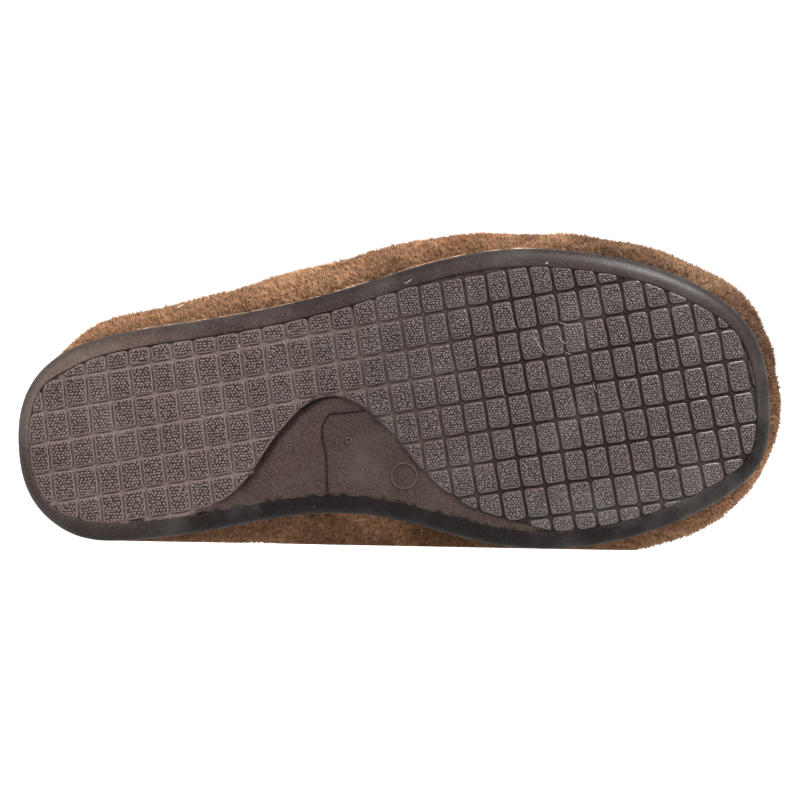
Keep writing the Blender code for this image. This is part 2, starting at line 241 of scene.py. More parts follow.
@dataclass(frozen=True)
class Nap:
    """Blades of the pile: their size, how they lie and how far they differ."""

    length: float = 2.5
    lengths: Span = (0.7, 1.2)
    width: float = 0.42
    widths: Span = (0.7, 1.25)
    lean: float = math.radians(70.0)
    lean_jitter: float = 0.13
    lean_swirl: float = 0.16
    bends: Span = (0.75, 1.15)
    sweep: float = -0.35
    swirl: Wave = Wave(22.0, 0.55)
    curl: Wave = Wave(9.0, 0.35)
    clump: Wave = Wave(4.2, 0.3)
    stray: float = 0.2
    roll: float = 0.45
    sink: float = 0.15
    knee: float = 0.5
    knee_width: float = 0.8
    clump_tone: float = 0.22
    tone_jitter: float = 0.26
    rises: tuple[float, ...] = (0.0, 0.0, 0.55, 0.55, 1.0)


def spline(knots: Array, values: Array, queries: Numbers) -> Array:
    """Read a smooth curve through two short columns.

    Args:
        knots: Rising places of the rows.
        values: Value of each row.
        queries: Places to read, held to the first and last row.

    Returns:
        The value at each place.
    """
    knots = np.asarray(knots, float)
    values = np.asarray(values, float)
    queries = np.clip(queries, knots[0], knots[-1])
    slopes = np.gradient(values, knots)
    index = np.clip(np.searchsorted(knots, queries) - 1, 0, len(knots) - 2)
    step = knots[index + 1] - knots[index]
    u = (queries - knots[index]) / step
    rise = (2 * u**3 - 3 * u**2 + 1) * values[index] + (3 * u**2 - 2 * u**3) * values[index + 1]
    return rise + step * ((u**3 - 2 * u**2 + u) * slopes[index] + (u**3 - u**2) * slopes[index + 1])


def read_table(rows: tuple[object, ...], key: str, column: str, at: Numbers) -> Array:
    """Read one column of a table smoothly, at places in its key column."""
    return spline([getattr(row, key) for row in rows], [getattr(row, column) for row in rows], at)


def unit(vectors: Array) -> Array:
    """Scale vectors to length one."""
    return vectors / np.maximum(np.linalg.norm(vectors, axis=-1, keepdims=True), 1e-9)


def heading(path: Array, closed: bool = True) -> Array:
    """Return the direction of a ring, or of an open path, at each of its points."""
    across = np.roll(path, -1, axis=0) - np.roll(path, 1, axis=0)
    return unit(across if closed else np.gradient(path, axis=0))


def left_of(path: Array, closed: bool = True) -> Array:
    """Return the plan direction to the left of a path's run at each of its points."""
    along = heading(path, closed)
    return np.column_stack([-along[:, 1], along[:, 0]])


def inset(ring: Array, distance: Numbers) -> Array:
    """Move inwards a plan ring that runs along the medial side to the toe and back on the lateral side."""
    return ring - left_of(ring) * np.reshape(distance, (-1, 1))


def at_height(ring: Array, height: Numbers) -> Array:
    """Stack plan points and their heights into points in space."""
    return np.column_stack([ring, np.broadcast_to(height, len(ring))])


def smooth_step(values: Numbers, low: float, high: float) -> Array:
    """Ease from 0 at low to 1 at high."""
    share = np.clip((np.asarray(values, float) - low) / (high - low), 0.0, 1.0)
    return share * share * (3 - 2 * share)


def fade(values: Array, low: float, high: float) -> Array:
    """Ease from 1 at low to 0 at high."""
    return smooth_step(-values, -high, -low)


def turns(count: int) -> Array:
    """Return evenly spread angles of a full turn."""
    return np.arange(count) * 2 * math.pi / count


def quarter_turn(steps: int) -> Array:
    """Return evenly spread angles from 0 to a quarter turn."""
    return math.pi / 2 * np.arange(steps + 1) / steps


def gap_to(points: Array, curve: Array) -> Array:
    """Return how far each plan point lies from the nearest point of a curve."""
    return np.linalg.norm(points[:, None] - curve[None], axis=2).min(axis=1)


def run_length(path: Array) -> Array:
    """Return how far along a path each of its points lies."""
    return np.concatenate([[0.0], np.cumsum(np.linalg.norm(np.diff(path, axis=0), axis=1))])


def read_rows(rows: Array, length: Array, at: Array) -> Array:
    """Read rows of numbers, given at lengths along a path, at other lengths."""
    return np.column_stack([np.interp(at, length, column) for column in rows.T])


def resample(loop: Array, spacing: float, least: int = 12) -> Array:
    """Space the points of a closed plan loop evenly.

    Args:
        loop: Corners of the loop.
        spacing: Wanted distance between points.
        least: Least number of points.

    Returns:
        Evenly spaced points round the loop.
    """
    closed = np.vstack([loop, loop[:1]])
    length = run_length(closed)
    count = max(least, int(round(length[-1] / spacing)))
    return read_rows(closed, length, np.arange(count) * length[-1] / count)


def ripple(points: Array, wavelength: float, seed: int, waves: int = 7) -> Array:
    """Return a smooth random field, as a sum of sine waves in many directions.

    Args:
        points: Places in mm.
        wavelength: Typical length of a wave.
        seed: Seed of the directions.
        waves: Number of waves in the sum.

    Returns:
        One value for each point, mostly between -1 and 1.
    """
    rng = np.random.default_rng(seed)
    total = np.zeros(points.shape[:-1])
    for _ in range(waves):
        direction = unit(rng.normal(size=3))
        pace = 2 * math.pi / (wavelength * rng.uniform(0.7, 1.5))
        total += np.sin(points @ direction * pace + rng.uniform(0.0, 2 * math.pi))
    return total / math.sqrt(waves)


@dataclass(frozen=True)
class Outline:
    """A closed smooth plan curve through a short table of sections."""

    sections: tuple[Section, ...]
    heel_tip: Spot
    toe_tip: Spot
    steps: int = 24

    def fine(self) -> tuple[Array, int]:
        """Work the curve out as a periodic cubic spline.

        Returns:
            Fine points that start at the heel and run along the medial side, and the toe's index.
        """
        medial = [(row.x, row.medial) for row in self.sections]
        lateral = [(row.x, row.lateral) for row in reversed(self.sections)]
        heel = (self.heel_tip.x, self.heel_tip.y)
        points = np.array([heel] + medial + [(self.toe_tip.x, self.toe_tip.y)] + lateral)
        count = len(points)
        chord = np.linalg.norm(np.roll(points, -1, axis=0) - points, axis=1)
        before = np.roll(chord, 1)
        bands = ((before, -1), (2 * (before + chord), 0), (chord, 1))
        matrix = sum(np.roll(np.diag(row), shift, axis=1) for row, shift in bands)
        ahead = (np.roll(points, -1, axis=0) - points) / chord[:, None]
        bend = np.linalg.solve(matrix, 6 * (ahead - np.roll(ahead, 1, axis=0)))
        fine = []
        for i in range(count):
            j = (i + 1) % count
            for u in np.arange(self.steps) / self.steps:
                a = 1 - u
                sag = ((a**3 - a) * bend[i] + (u**3 - u) * bend[j]) * chord[i] ** 2 / 6
                fine.append(a * points[i] + u * points[j] + sag)
        return np.array(fine), (len(self.sections) + 1) * self.steps

    def ring(self, count: int) -> Array:
        """Space points evenly on the curve.

        Args:
            count: Number of points.

        Returns:
            The points, half along the medial side from heel to toe, half back.
        """
        fine, toe = self.fine()
        halves = []
        for side in (fine[:toe + 1], np.vstack([fine[toe:], fine[:1]])):
            length = run_length(side)
            halves.append(read_rows(side, length, np.linspace(0.0, length[-1], count // 2 + 1)[:-1]))
        return np.vstack(halves)


@dataclass
class ShoeForm:
    """The shape that all pieces of the slipper follow, and how it lies on the floor."""

    sole: Outline = Outline(
        sections=(
            Section(3.0, -17.3, 17.7),
            Section(9.0, -26.8, 26.6),
            Section(20.0, -34.6, 34.2),
            Section(40.0, -39.9, 36.9),
            Section(70.0, -42.6, 35.3),
            Section(100.0, -45.9, 32.2),
            Section(130.0, -51.6, 34.6),
            Section(150.0, -56.4, 40.6),
            Section(170.0, -59.8, 47.3),
            Section(190.0, -60.7, 51.0),
            Section(210.0, -58.4, 51.0),
            Section(230.0, -53.8, 47.9),
            Section(250.0, -45.7, 41.8),
            Section(265.0, -36.0, 34.4),
            Section(274.0, -26.0, 26.6),
            Section(278.8, -13.5, 15.0),
        ),
        heel_tip=Spot(0.0, 0.0),
        toe_tip=Spot(280.0, 0.8),
    )
    plush: Outline = Outline(
        sections=(
            Section(4.5, -22.0, 22.0),
            Section(13.5, -33.4, 32.6),
            Section(26.6, -43.4, 40.5),
            Section(37.0, -46.9, 42.8),
            Section(57.5, -50.7, 43.9),
            Section(78.0, -53.6, 44.3),
            Section(98.7, -58.2, 47.2),
            Section(130.0, -64.3, 51.5),
            Section(150.0, -67.5, 54.7),
            Section(171.0, -69.2, 57.2),
            Section(191.5, -68.3, 58.7),
            Section(212.0, -66.0, 58.4),
            Section(232.5, -61.8, 56.0),
            Section(253.0, -54.3, 50.3),
            Section(268.5, -45.2, 42.2),
            Section(278.0, -35.4, 31.8),
            Section(285.3, -18.8, 15.5),
        ),
        heel_tip=Spot(-0.3, 0.0),
        toe_tip=Spot(287.7, -2.0),
    )
    seat_heights: tuple[Station, ...] = (
        Station(0.0, 16.0),
        Station(60.0, 15.2),
        Station(110.0, 12.0),
        Station(160.0, 8.3),
        Station(212.0, 7.4),
        Station(250.0, 10.2),
        Station(280.0, 15.0),
    )
    nap: float = 2.0
    arch_rise: float = 2.5
    arch_span: Span = (85.0, 155.0)
    spring_start: float = 212.0
    toe_spring: float = 9.0
    rim_height: float = 4.5
    lip_height: float = 7.5
    lip_wall: float = 2.0
    clearance: float = 0.3
    lean: float = math.radians(4.0)
    waist_x: float = 115.0
    rest_softness: float = 1.5
    rest_ring: int = 96
    rest_rounds: int = 6

    def __post_init__(self) -> None:
        """Work out the plane that the slipper rests on, and the matrix that lays it down."""
        self.plane = self._rest_plane()
        self.lay = self._lay_down()

    def bottom(self, x: Numbers) -> Array:
        """Return the height of the tread's wearing surface.

        Args:
            x: Stations of the shoe.

        Returns:
            The height at each station.
        """
        arch = np.clip((x - self.arch_span[0]) / (self.arch_span[1] - self.arch_span[0]), 0.0, 1.0)
        spring = np.clip((x - self.spring_start) / (self.sole.toe_tip.x - self.spring_start), 0.0, None)
        return self.arch_rise * np.sin(math.pi * arch) ** 2 + self.toe_spring * spring**2

    def seat(self, x: Numbers) -> Array:
        """Return the height of the sole's seat."""
        return read_table(self.seat_heights, "x", "z", x)

    def lip(self, x: Numbers) -> Array:
        """Return the height of the top of the lip round the seat."""
        return self.seat(x) + self.lip_height

    def skin(self, count: int) -> Array:
        """Return the plan ring of the cloth under the nap."""
        return inset(self.plush.ring(count), self.nap)

    def floor_side(self, points: Array) -> Array:
        """Return how far to the medial side the floor lies at points."""
        return self.plane[0] + self.plane[1] * points[..., 0] + self.plane[2] * points[..., 2]

    def press(self, points: Array) -> Array:
        """Flatten what would reach past the floor, with a soft edge round the flat.

        Args:
            points: Points of the shoe.

        Returns:
            The pressed points.
        """
        limit = self.floor_side(points)
        over = points[..., 1] - limit
        soft = self.rest_softness
        bent = -((over - soft) ** 2) / (4 * soft)
        pressed = points.copy()
        pressed[..., 1] = limit + np.where(over > soft, 0.0, np.where(over < -soft, over, bent))
        return pressed

    def keep_up(self, points: Array, least: float) -> Array:
        """Hold points at least a small height above the floor."""
        side = np.minimum(points[..., 1], self.floor_side(points) - least)
        return np.stack([points[..., 0], side, points[..., 2]], axis=-1)

    def world(self, point: Place) -> Vector:
        """Return a point of the shoe, given in mm, in the room."""
        return self.lay @ (Vector(point) * MM)

    def _rest_plane(self) -> Array:
        """Find the plane that touches the medial rim at heel and ball.

        Returns:
            The numbers a, b and c of the plane y = a + b x + c z.
        """
        medial = self.sole.ring(self.rest_ring)[:self.rest_ring // 2]
        heel = medial[:, 0] < self.waist_x
        slope = 0.0
        for _ in range(self.rest_rounds):
            reach = medial[:, 1] - slope * medial[:, 0]
            back = medial[np.argmax(np.where(heel, reach, -np.inf))]
            front = medial[np.argmax(np.where(heel, -np.inf, reach))]
            slope = (front[1] - back[1]) / (front[0] - back[0])
        lean = math.tan(self.lean)
        return np.array([back[1] - slope * back[0] - lean * self.rim_height, slope, lean])

    def _lay_down(self) -> Matrix:
        """Work out how the slipper lies, set by the outsole's box in the frame.

        Returns:
            The matrix from the shoe's axes to the frame.
        """
        up = -Vector((-self.plane[1], 1.0, -self.plane[2])).normalized()
        toe = (Vector((1.0, 0.0, 0.0)) - up * up.x).normalized()
        turn = Matrix((toe, up.cross(toe), up))
        ring = self.sole.ring(self.rest_ring)
        edges = np.vstack([
            at_height(ring, self.bottom(ring[:, 0]) + self.rim_height),
            at_height(ring, self.lip(ring[:, 0])),
        ])
        turned = edges @ np.array(turn).T * MM
        low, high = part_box(Node.OUTSOLE.value)
        place = Vector((
            low[0] - turned[:, 0].min(),
            high[1] - turned[:, 1].max(),
            low[2] - turned[:, 2].min(),
        ))
        return Matrix.Translation(place) @ turn.to_4x4()


def put(name: str, data: bpy.types.ID) -> Piece:
    """Put an object into the scene.

    Args:
        name: Its name.
        data: Its mesh, lamp or camera.

    Returns:
        The linked object.
    """
    made = bpy.data.objects.new(name, data)
    bpy.context.scene.collection.objects.link(made)
    return made


class MeshSheet:
    """Points, faces and point values of one piece, gathered as arrays."""

    STEEP = 0.9

    def __init__(self) -> None:
        """Start empty."""
        self._points: list[Array] = []
        self._faces: list[Array] = []
        self._values: dict[str, list[Array]] = {}
        self.count = 0

    def add(self, points: Array, *faces: Array, **values: Numbers) -> None:
        """Add points with their faces.

        Args:
            points: Points in mm.
            faces: Arrays of corners, each of one corner count, numbered from the first new point.
            values: Named values of the points.
        """
        points = np.reshape(points, (-1, 3))
        self._faces += [block + self.count for block in faces]
        for name, value in values.items():
            self._values.setdefault(name, []).append(np.broadcast_to(value, len(points)))
        self._points.append(points)
        self.count += len(points)

    def add_rings(self, rings: Array, *caps: Array, **values: Numbers) -> None:
        """Add rings of one count, joined to a tube, with faces that close its ends."""
        self.add(rings, band(*rings.shape[:2]), *caps, **values)

    def add_loop(self, rings: Array, **values: Numbers) -> None:
        """Add rings of one count, of which the last joins the first."""
        rows, count = rings.shape[:2]
        self.add(rings, band(rows + 1, count) % (rows * count), **values)

    def add_tube(self, path: Array, radius: Numbers, sides: int, closed: bool = False,
                 **values: float) -> None:
        """Add a round tube along a path.

        Args:
            path: Points of its middle line.
            radius: Its radius, one or one for each point.
            sides: Corners of its section.
            closed: Whether the path is a ring.
            values: Named values of its points.
        """
        count = len(path)
        along = heading(path, closed)
        steep = abs(along[:, 2:]) > self.STEEP
        first = unit(np.cross(along, np.where(steep, (1.0, 0.0, 0.0), (0.0, 0.0, 1.0))))
        second = np.cross(along, first)
        turn = turns(sides)[:, None]
        spokes = first[:, None] * np.cos(turn) + second[:, None] * np.sin(turn)
        rings = path[:, None] + spokes * np.reshape(np.broadcast_to(radius, count), (-1, 1, 1))
        if closed:
            self.add_loop(rings, **values)
            return
        self.add(
            np.vstack([rings.reshape(-1, 3), path[:1], path[-1:]]),
            band(count, sides),
            hub_cap(sides, 0, count * sides)[:, ::-1],
            hub_cap(sides, (count - 1) * sides, count * sides + 1),
            **values,
        )

    def make(self, name: str, form: ShoeForm, closed: bool = True, weld: float = 0.0,
             sharp: float | None = None) -> Piece:
        """Turn the arrays into an object that lies on the floor.

        Args:
            name: Name of the piece.
            form: The form that lays the piece down.
            closed: Whether the faces form closed bodies, whose normals are then turned outwards.
            weld: Distance in mm up to which points of closed bodies are joined.
            sharp: Angle past which an edge stays sharp.

        Returns:
            The linked object.
        """
        mesh = bpy.data.meshes.new(name)
        points = np.vstack(self._points) * MM @ np.array(form.lay.to_3x3()).T + np.array(form.lay.translation)
        mesh.from_pydata(points, [], [face for block in self._faces for face in block.tolist()])
        for value_name, parts in self._values.items():
            layer = mesh.attributes.new(value_name, "FLOAT", "POINT")
            layer.data.foreach_set("value", np.concatenate(parts))
        mesh.validate()
        if closed:
            body = bmesh.new()
            body.from_mesh(mesh)
            if weld:
                bmesh.ops.remove_doubles(body, verts=body.verts[:], dist=weld * MM)
            bmesh.ops.recalc_face_normals(body, faces=body.faces[:])
            body.to_mesh(mesh)
            body.free()
        mesh.shade_smooth()
        if sharp is not None:
            mesh.set_sharp_from_angle(angle=sharp)
        return put(name, mesh)


def band(rows: int, count: int) -> Array:
    """Return the quads between closed rings of one count."""
    row, i = np.divmod(np.arange((rows - 1) * count), count)
    return np.column_stack([i, (i + 1) % count, (i + 1) % count + count, i + count]) + row[:, None] * count


def strip_cap(count: int, first: int) -> tuple[Array, Array]:
    """Close a ring that runs out and back with strips across it.

    Args:
        count: Points in the ring.
        first: Index of the ring's first point.

    Returns:
        The quads and the two end triangles.
    """
    half = count // 2
    i = np.arange(1, half - 1)
    quads = np.column_stack([i, i + 1, count - i - 1, count - i])
    ends = np.array([(0, 1, count - 1), (half - 1, half, half + 1)])
    return quads + first, ends + first


def hub_cap(count: int, first: int, hub: int) -> Array:
    """Return the triangles from a ring to a point in its middle."""
    i = np.arange(count)
    return np.column_stack([i + first, (i + 1) % count + first, np.full(count, hub)])


def fit_out(piece: Piece, slot: Slot, finish: bpy.types.Material, *nodes: Node) -> None:
    """Dress a piece and tie it to the frame.

    Args:
        piece: The piece.
        slot: Material slot of the record that its finish belongs to; not used.
        finish: Its material.
        nodes: Solids of the frame that it stands for.
    """
    piece.data.materials.append(finish)
    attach(piece, BODY)
    if nodes:
        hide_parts(*(node.value for node in nodes))
    LOG.info("%s: %d faces", piece.name, len(piece.data.polygons))


class NodeSheet:
    """Short calls to lay out a node tree."""

    def __init__(self, tree: bpy.types.NodeTree) -> None:
        """Keep the tree."""
        self.tree = tree

    def node(self, kind: str, settings: dict | None = None, numbered: dict[int, object] | None = None,
             **inputs: object) -> bpy.types.Node:
        """Add a node.

        Args:
            kind: Node type without its ShaderNode prefix.
            settings: Properties of the node.
            numbered: Values or sockets for its inputs by number.
            inputs: Values or sockets for its inputs by name, with _ for a space.

        Returns:
            The node.
        """
        made = self.tree.nodes.new("ShaderNode" + kind)
        for name, value in (settings or {}).items():
            setattr(made, name, value)
        for number, value in (numbered or {}).items():
            self.feed(made.inputs[number], value)
        self.fill(made, **inputs)
        return made

    def fill(self, node: bpy.types.Node, **inputs: object) -> None:
        """Feed named inputs of a node, with _ for a space in a name."""
        for name, value in inputs.items():
            self.feed(node.inputs[name.replace("_", " ")], value)

    def feed(self, socket: Plug, value: object) -> None:
        """Link a socket to another, or set its value.

        Args:
            socket: The socket.
            value: Another socket, a number, a vector or a colour.
        """
        if isinstance(value, Plug):
            self.tree.links.new(value, socket)
        elif socket.type == "RGBA":
            socket.default_value = (*value, 1.0)
        else:
            socket.default_value = value

    def math(self, operation: str, *values: object, kind: str = "Math", **inputs: object) -> Plug:
        """Add a Math node, or a VectorMath node, and return its result."""
        return self.node(kind, {"operation": operation}, dict(enumerate(values)), **inputs).outputs[0]

    def ease(self, value: object, low: float, high: float, to_low: float = 0.0, to_high: float = 1.0
             ) -> Plug:
        """Add a smooth Map Range node and return its result."""
        numbered = dict(enumerate((value, low, high, to_low, to_high)))
        return self.node("MapRange", {"interpolation_type": "SMOOTHSTEP"}, numbered).outputs[0]

    def mix(self, share: object, first: object, second: object, blend: str = "MIX") -> Plug:
        """Add a colour Mix node and return its result."""
        settings = {"data_type": "RGBA", "blend_type": blend}
        return self.node("Mix", settings, {0: share, 6: first, 7: second}).outputs[2]

    def tint(self, colour: object, share: object, first: object, second: object) -> Plug:
        """Multiply a colour by a mix of two tints."""
        return self.mix(1.0, colour, self.mix(share, first, second), "MULTIPLY")

    def noise(self, vector: object, scale: object, detail: float, roughness: float = 0.5) -> Plug:
        """Add a Noise Texture and return its value."""
        made = self.node("TexNoise", Vector=vector, Scale=scale, Detail=detail, Roughness=roughness)
        return made.outputs[0]

    def bump(self, shader: bpy.types.Node, height: object, depth: float, strength: float = 1.0) -> None:
        """Give a shader relief from a height, with its depth in mm."""
        made = self.node("Bump", Height=height, Strength=strength, Distance=depth * MM)
        self.feed(shader.inputs["Normal"], made.outputs[0])

    def place(self, name: str, **inputs: object) -> bpy.types.Node:
        """Place a shared group with its own values."""
        return self.node("Group", {"node_tree": bpy.data.node_groups[name]}, **inputs)

    def value(self, name: str) -> Plug:
        """Return a named value of the mesh's points."""
        return self.node("Attribute", {"attribute_name": name}).outputs["Fac"]

    def place_in_shoe(self, form: ShoeForm) -> Plug:
        """Return the point's place in the shoe's own axes, in metres."""
        back, place = form.lay.inverted(), self.node("TexCoord").outputs["Object"]
        return self.node("Mapping", None, {0: place, 1: back.translation, 2: back.to_euler()}).outputs[0]


class SharedEffects:
    """Node groups that several finishes use."""

    PEBBLE = "moulded_pebble"
    MARBLE = "crushed_pile"
    DUST = "loose_dust"

    def build(self) -> None:
        """Build each group once."""
        for effect in (self._pebble, self._marble, self._dust):
            effect()

    @staticmethod
    def _start(name: str, inputs: tuple[str, ...], outputs: tuple[str, ...]
               ) -> tuple[NodeSheet, list[Plug], bpy.types.Node]:
        """Start a group with named sockets.

        Args:
            name: Name of the group.
            inputs: Names of its inputs, the first a vector and the rest values.
            outputs: Names of its outputs, which are values.

        Returns:
            A sheet for its nodes, what its inputs give, and its output node.
        """
        tree = bpy.data.node_groups.new(name, "ShaderNodeTree")
        for socket in inputs:
            kind = Socket.VECTOR if socket == inputs[0] else Socket.VALUE
            tree.interface.new_socket(socket, in_out="INPUT", socket_type=kind.value)
        for socket in outputs:
            tree.interface.new_socket(socket, in_out="OUTPUT", socket_type=Socket.VALUE.value)
        given = tree.nodes.new("NodeGroupInput").outputs[:len(inputs)]
        return NodeSheet(tree), given, tree.nodes.new("NodeGroupOutput")

    def _pebble(self) -> None:
        """Round pebbles of moulded rubber, stretched and wandering as much as asked."""
        sheet, (vector, scale, wander), made = self._start(
            self.PEBBLE, ("Vector", "Scale", "Wander"), ("Height", "Tone"))
        swirl = sheet.node("TexNoise", Vector=vector, Scale=sheet.math("MULTIPLY", scale, 0.6), Detail=1.0)
        off = sheet.math("SUBTRACT", swirl.outputs["Color"], grey(0.5), kind="VectorMath")
        shift = sheet.math("SCALE", off, kind="VectorMath", Scale=wander)
        moved = sheet.math("ADD", vector, shift, kind="VectorMath")
        cells = sheet.node("TexVoronoi", {"feature": "SMOOTH_F1"}, Vector=moved, Scale=scale, Smoothness=0.35)
        dome = sheet.ease(cells.outputs["Distance"], 0.1, 0.62, 1.0, 0.0)
        fine = sheet.noise(vector, sheet.math("MULTIPLY", scale, 3.0), detail=2.0)
        sheet.fill(made, Height=sheet.math("MULTIPLY_ADD", fine, 0.25, dome), Tone=dome)

    def _marble(self) -> None:
        """Light and dark swathes where the pile lies one way or the other."""
        sheet, (vector, scale), made = self._start(self.MARBLE, ("Vector", "Scale"), ("Swathe", "Streak"))
        broad = sheet.noise(vector, scale, detail=3.0, roughness=0.55)
        stretch = sheet.node("Mapping", Vector=vector, Scale=(0.45, 1.0, 0.3)).outputs[0]
        fine = sheet.noise(stretch, sheet.math("MULTIPLY", scale, 28.0), detail=3.0, roughness=0.7)
        sheet.fill(made, Swathe=sheet.ease(broad, 0.36, 0.62), Streak=sheet.ease(fine, *NOISE_MIDDLE))

    def _dust(self) -> None:
        """Sparse pale specks and a faint film."""
        sheet, (vector, scale, amount), made = self._start(
            self.DUST, ("Vector", "Scale", "Amount"), ("Speck", "Film"))
        cells = sheet.node("TexVoronoi", Vector=vector, Scale=scale)
        near = sheet.ease(cells.outputs["Distance"], 0.05, 0.13, 1.0, 0.0)
        pick = sheet.node("SeparateColor", Color=cells.outputs["Color"]).outputs[0]
        speck = sheet.math("MULTIPLY", near, sheet.math("LESS_THAN", pick, amount))
        broad = sheet.noise(vector, sheet.math("MULTIPLY", scale, 0.16), detail=4.0, roughness=0.6)
        sheet.fill(made, Speck=speck, Film=sheet.ease(broad, 0.45, 0.75))


@dataclass(frozen=True)
class Finish:
    """A finish with the name of its material."""

    name: str

    def start(self) -> tuple[bpy.types.Material, NodeSheet, bpy.types.Node]:
        """Start the material.

        Returns:
            The material, a sheet for its nodes and its shader.
        """
        made = bpy.data.materials.new(self.name)
        made.use_nodes = True
        return made, NodeSheet(made.node_tree), made.node_tree.nodes["Principled BSDF"]


@dataclass(frozen=True)
class RubberFinish(Finish):
    """Moulded rubber, greyer at the heel, with a fine grain that can run in short strokes."""

    heel: Colour
    toe: Colour
    shade: float
    grain: float
    relief: float
    roughness: Span
    stroke: float = 1.0
    stroke_turn: float = math.radians(-42.0)
    wander: float = 0.0004
    mottle: Tints = (grey(0.78), (1.2, 1.19, 1.18))
    mottle_scale: float = 55.0
    gloss_scale: float = 140.0
    specular: float = 0.5
    coat: float = 0.0
    rim_coat: bool = False
    medial_coat: float = 1.0
    coat_roughness: float = 0.3
    rim_polish: float = 0.85
    heel_dullness: float = 1.0
    # Tints picked by the mesh's painted shading value: painted shade in hollows, on the medial rim and round
    # its rolled edge; painted highlight on tops and edges.
    wear: Tints = ((0.14, 0.125, 0.12), grey(1.9))
    # Groove floors: painted sheen at the heel, painted shade at the toe.
    heel_groove_sheen: Colour = (0.2, 0.152, 0.134)
    toe_groove_shade: Colour = (0.02, 0.0132, 0.0108)
    dust: Colour = (0.42, 0.39, 0.37)
    dust_scale: float = 260.0
    dust_share: float = 0.02
    dust_film: float = 0.06
    change: Span = (0.06, 0.17)
    groove_change: Span = (0.075, 0.19)
    side_change: Span = (-0.02, 0.03)

    def make(self, form: ShoeForm) -> bpy.types.Material:
        """Make the material.

        Args:
            form: The form of its pieces.

        Returns:
            The material.
        """
        made, sheet, shader = self.start()
        place = sheet.place_in_shoe(form)
        along, across, _ = sheet.node("SeparateXYZ", Vector=place).outputs
        strokes = sheet.node(
            "Mapping", {"vector_type": "TEXTURE"}, Vector=place,
            Rotation=(0.0, 0.0, self.stroke_turn), Scale=(self.stroke, 1.0, 1.0))
        grain = sheet.place(
            SharedEffects.PEBBLE, Vector=strokes.outputs[0], Scale=self.grain, Wander=self.wander)
        dust = sheet.place(SharedEffects.DUST, Vector=place, Scale=self.dust_scale, Amount=self.dust_share)
        colour = sheet.mix(sheet.ease(along, *self.change), self.heel, self.toe)
        # Groove floors get painted sheen at the heel and painted shade at the toe.
        groove = sheet.mix(sheet.ease(along, *self.groove_change), self.heel_groove_sheen, self.toe_groove_shade)
        colour = sheet.mix(sheet.value("groove"), colour, groove)
        colour = sheet.tint(colour, sheet.noise(place, self.mottle_scale, detail=4.0), *self.mottle)
        colour = sheet.tint(colour, grain.outputs["Tone"], grey(self.shade), WHITE)
        # Painted shade and painted highlight, from the mesh's painted shading value.
        colour = sheet.tint(colour, sheet.value("wear"), *self.wear)
        colour = sheet.mix(sheet.math("MULTIPLY", dust.outputs["Film"], self.dust_film), colour, self.dust)
        colour = sheet.mix(dust.outputs["Speck"], colour, self.dust)
        gloss = sheet.ease(sheet.noise(place, self.gloss_scale, detail=3.0), *NOISE_MIDDLE, *self.roughness)
        polish = sheet.ease(sheet.value("rim"), 0.0, 1.0, 1.0, self.rim_polish)
        dullness = sheet.ease(along, *self.groove_change, self.heel_dullness, 1.0)
        gloss = sheet.math("MULTIPLY", gloss, sheet.math("MULTIPLY", polish, dullness))
        sheet.fill(shader, Base_Color=colour, Roughness=gloss, Specular_IOR_Level=self.specular)
        if self.coat:
            coat = sheet.ease(along, *self.groove_change, 0.0, self.coat)
            coat = sheet.math("MULTIPLY", coat, sheet.ease(across, *self.side_change, 1.0, self.medial_coat))
            if self.rim_coat:
                coat = sheet.math("MULTIPLY", coat, sheet.value("rim"))
            sheet.fill(shader, Coat_Weight=coat, Coat_Roughness=self.coat_roughness)
        sheet.bump(shader, grain.outputs["Height"], self.relief)
        return made


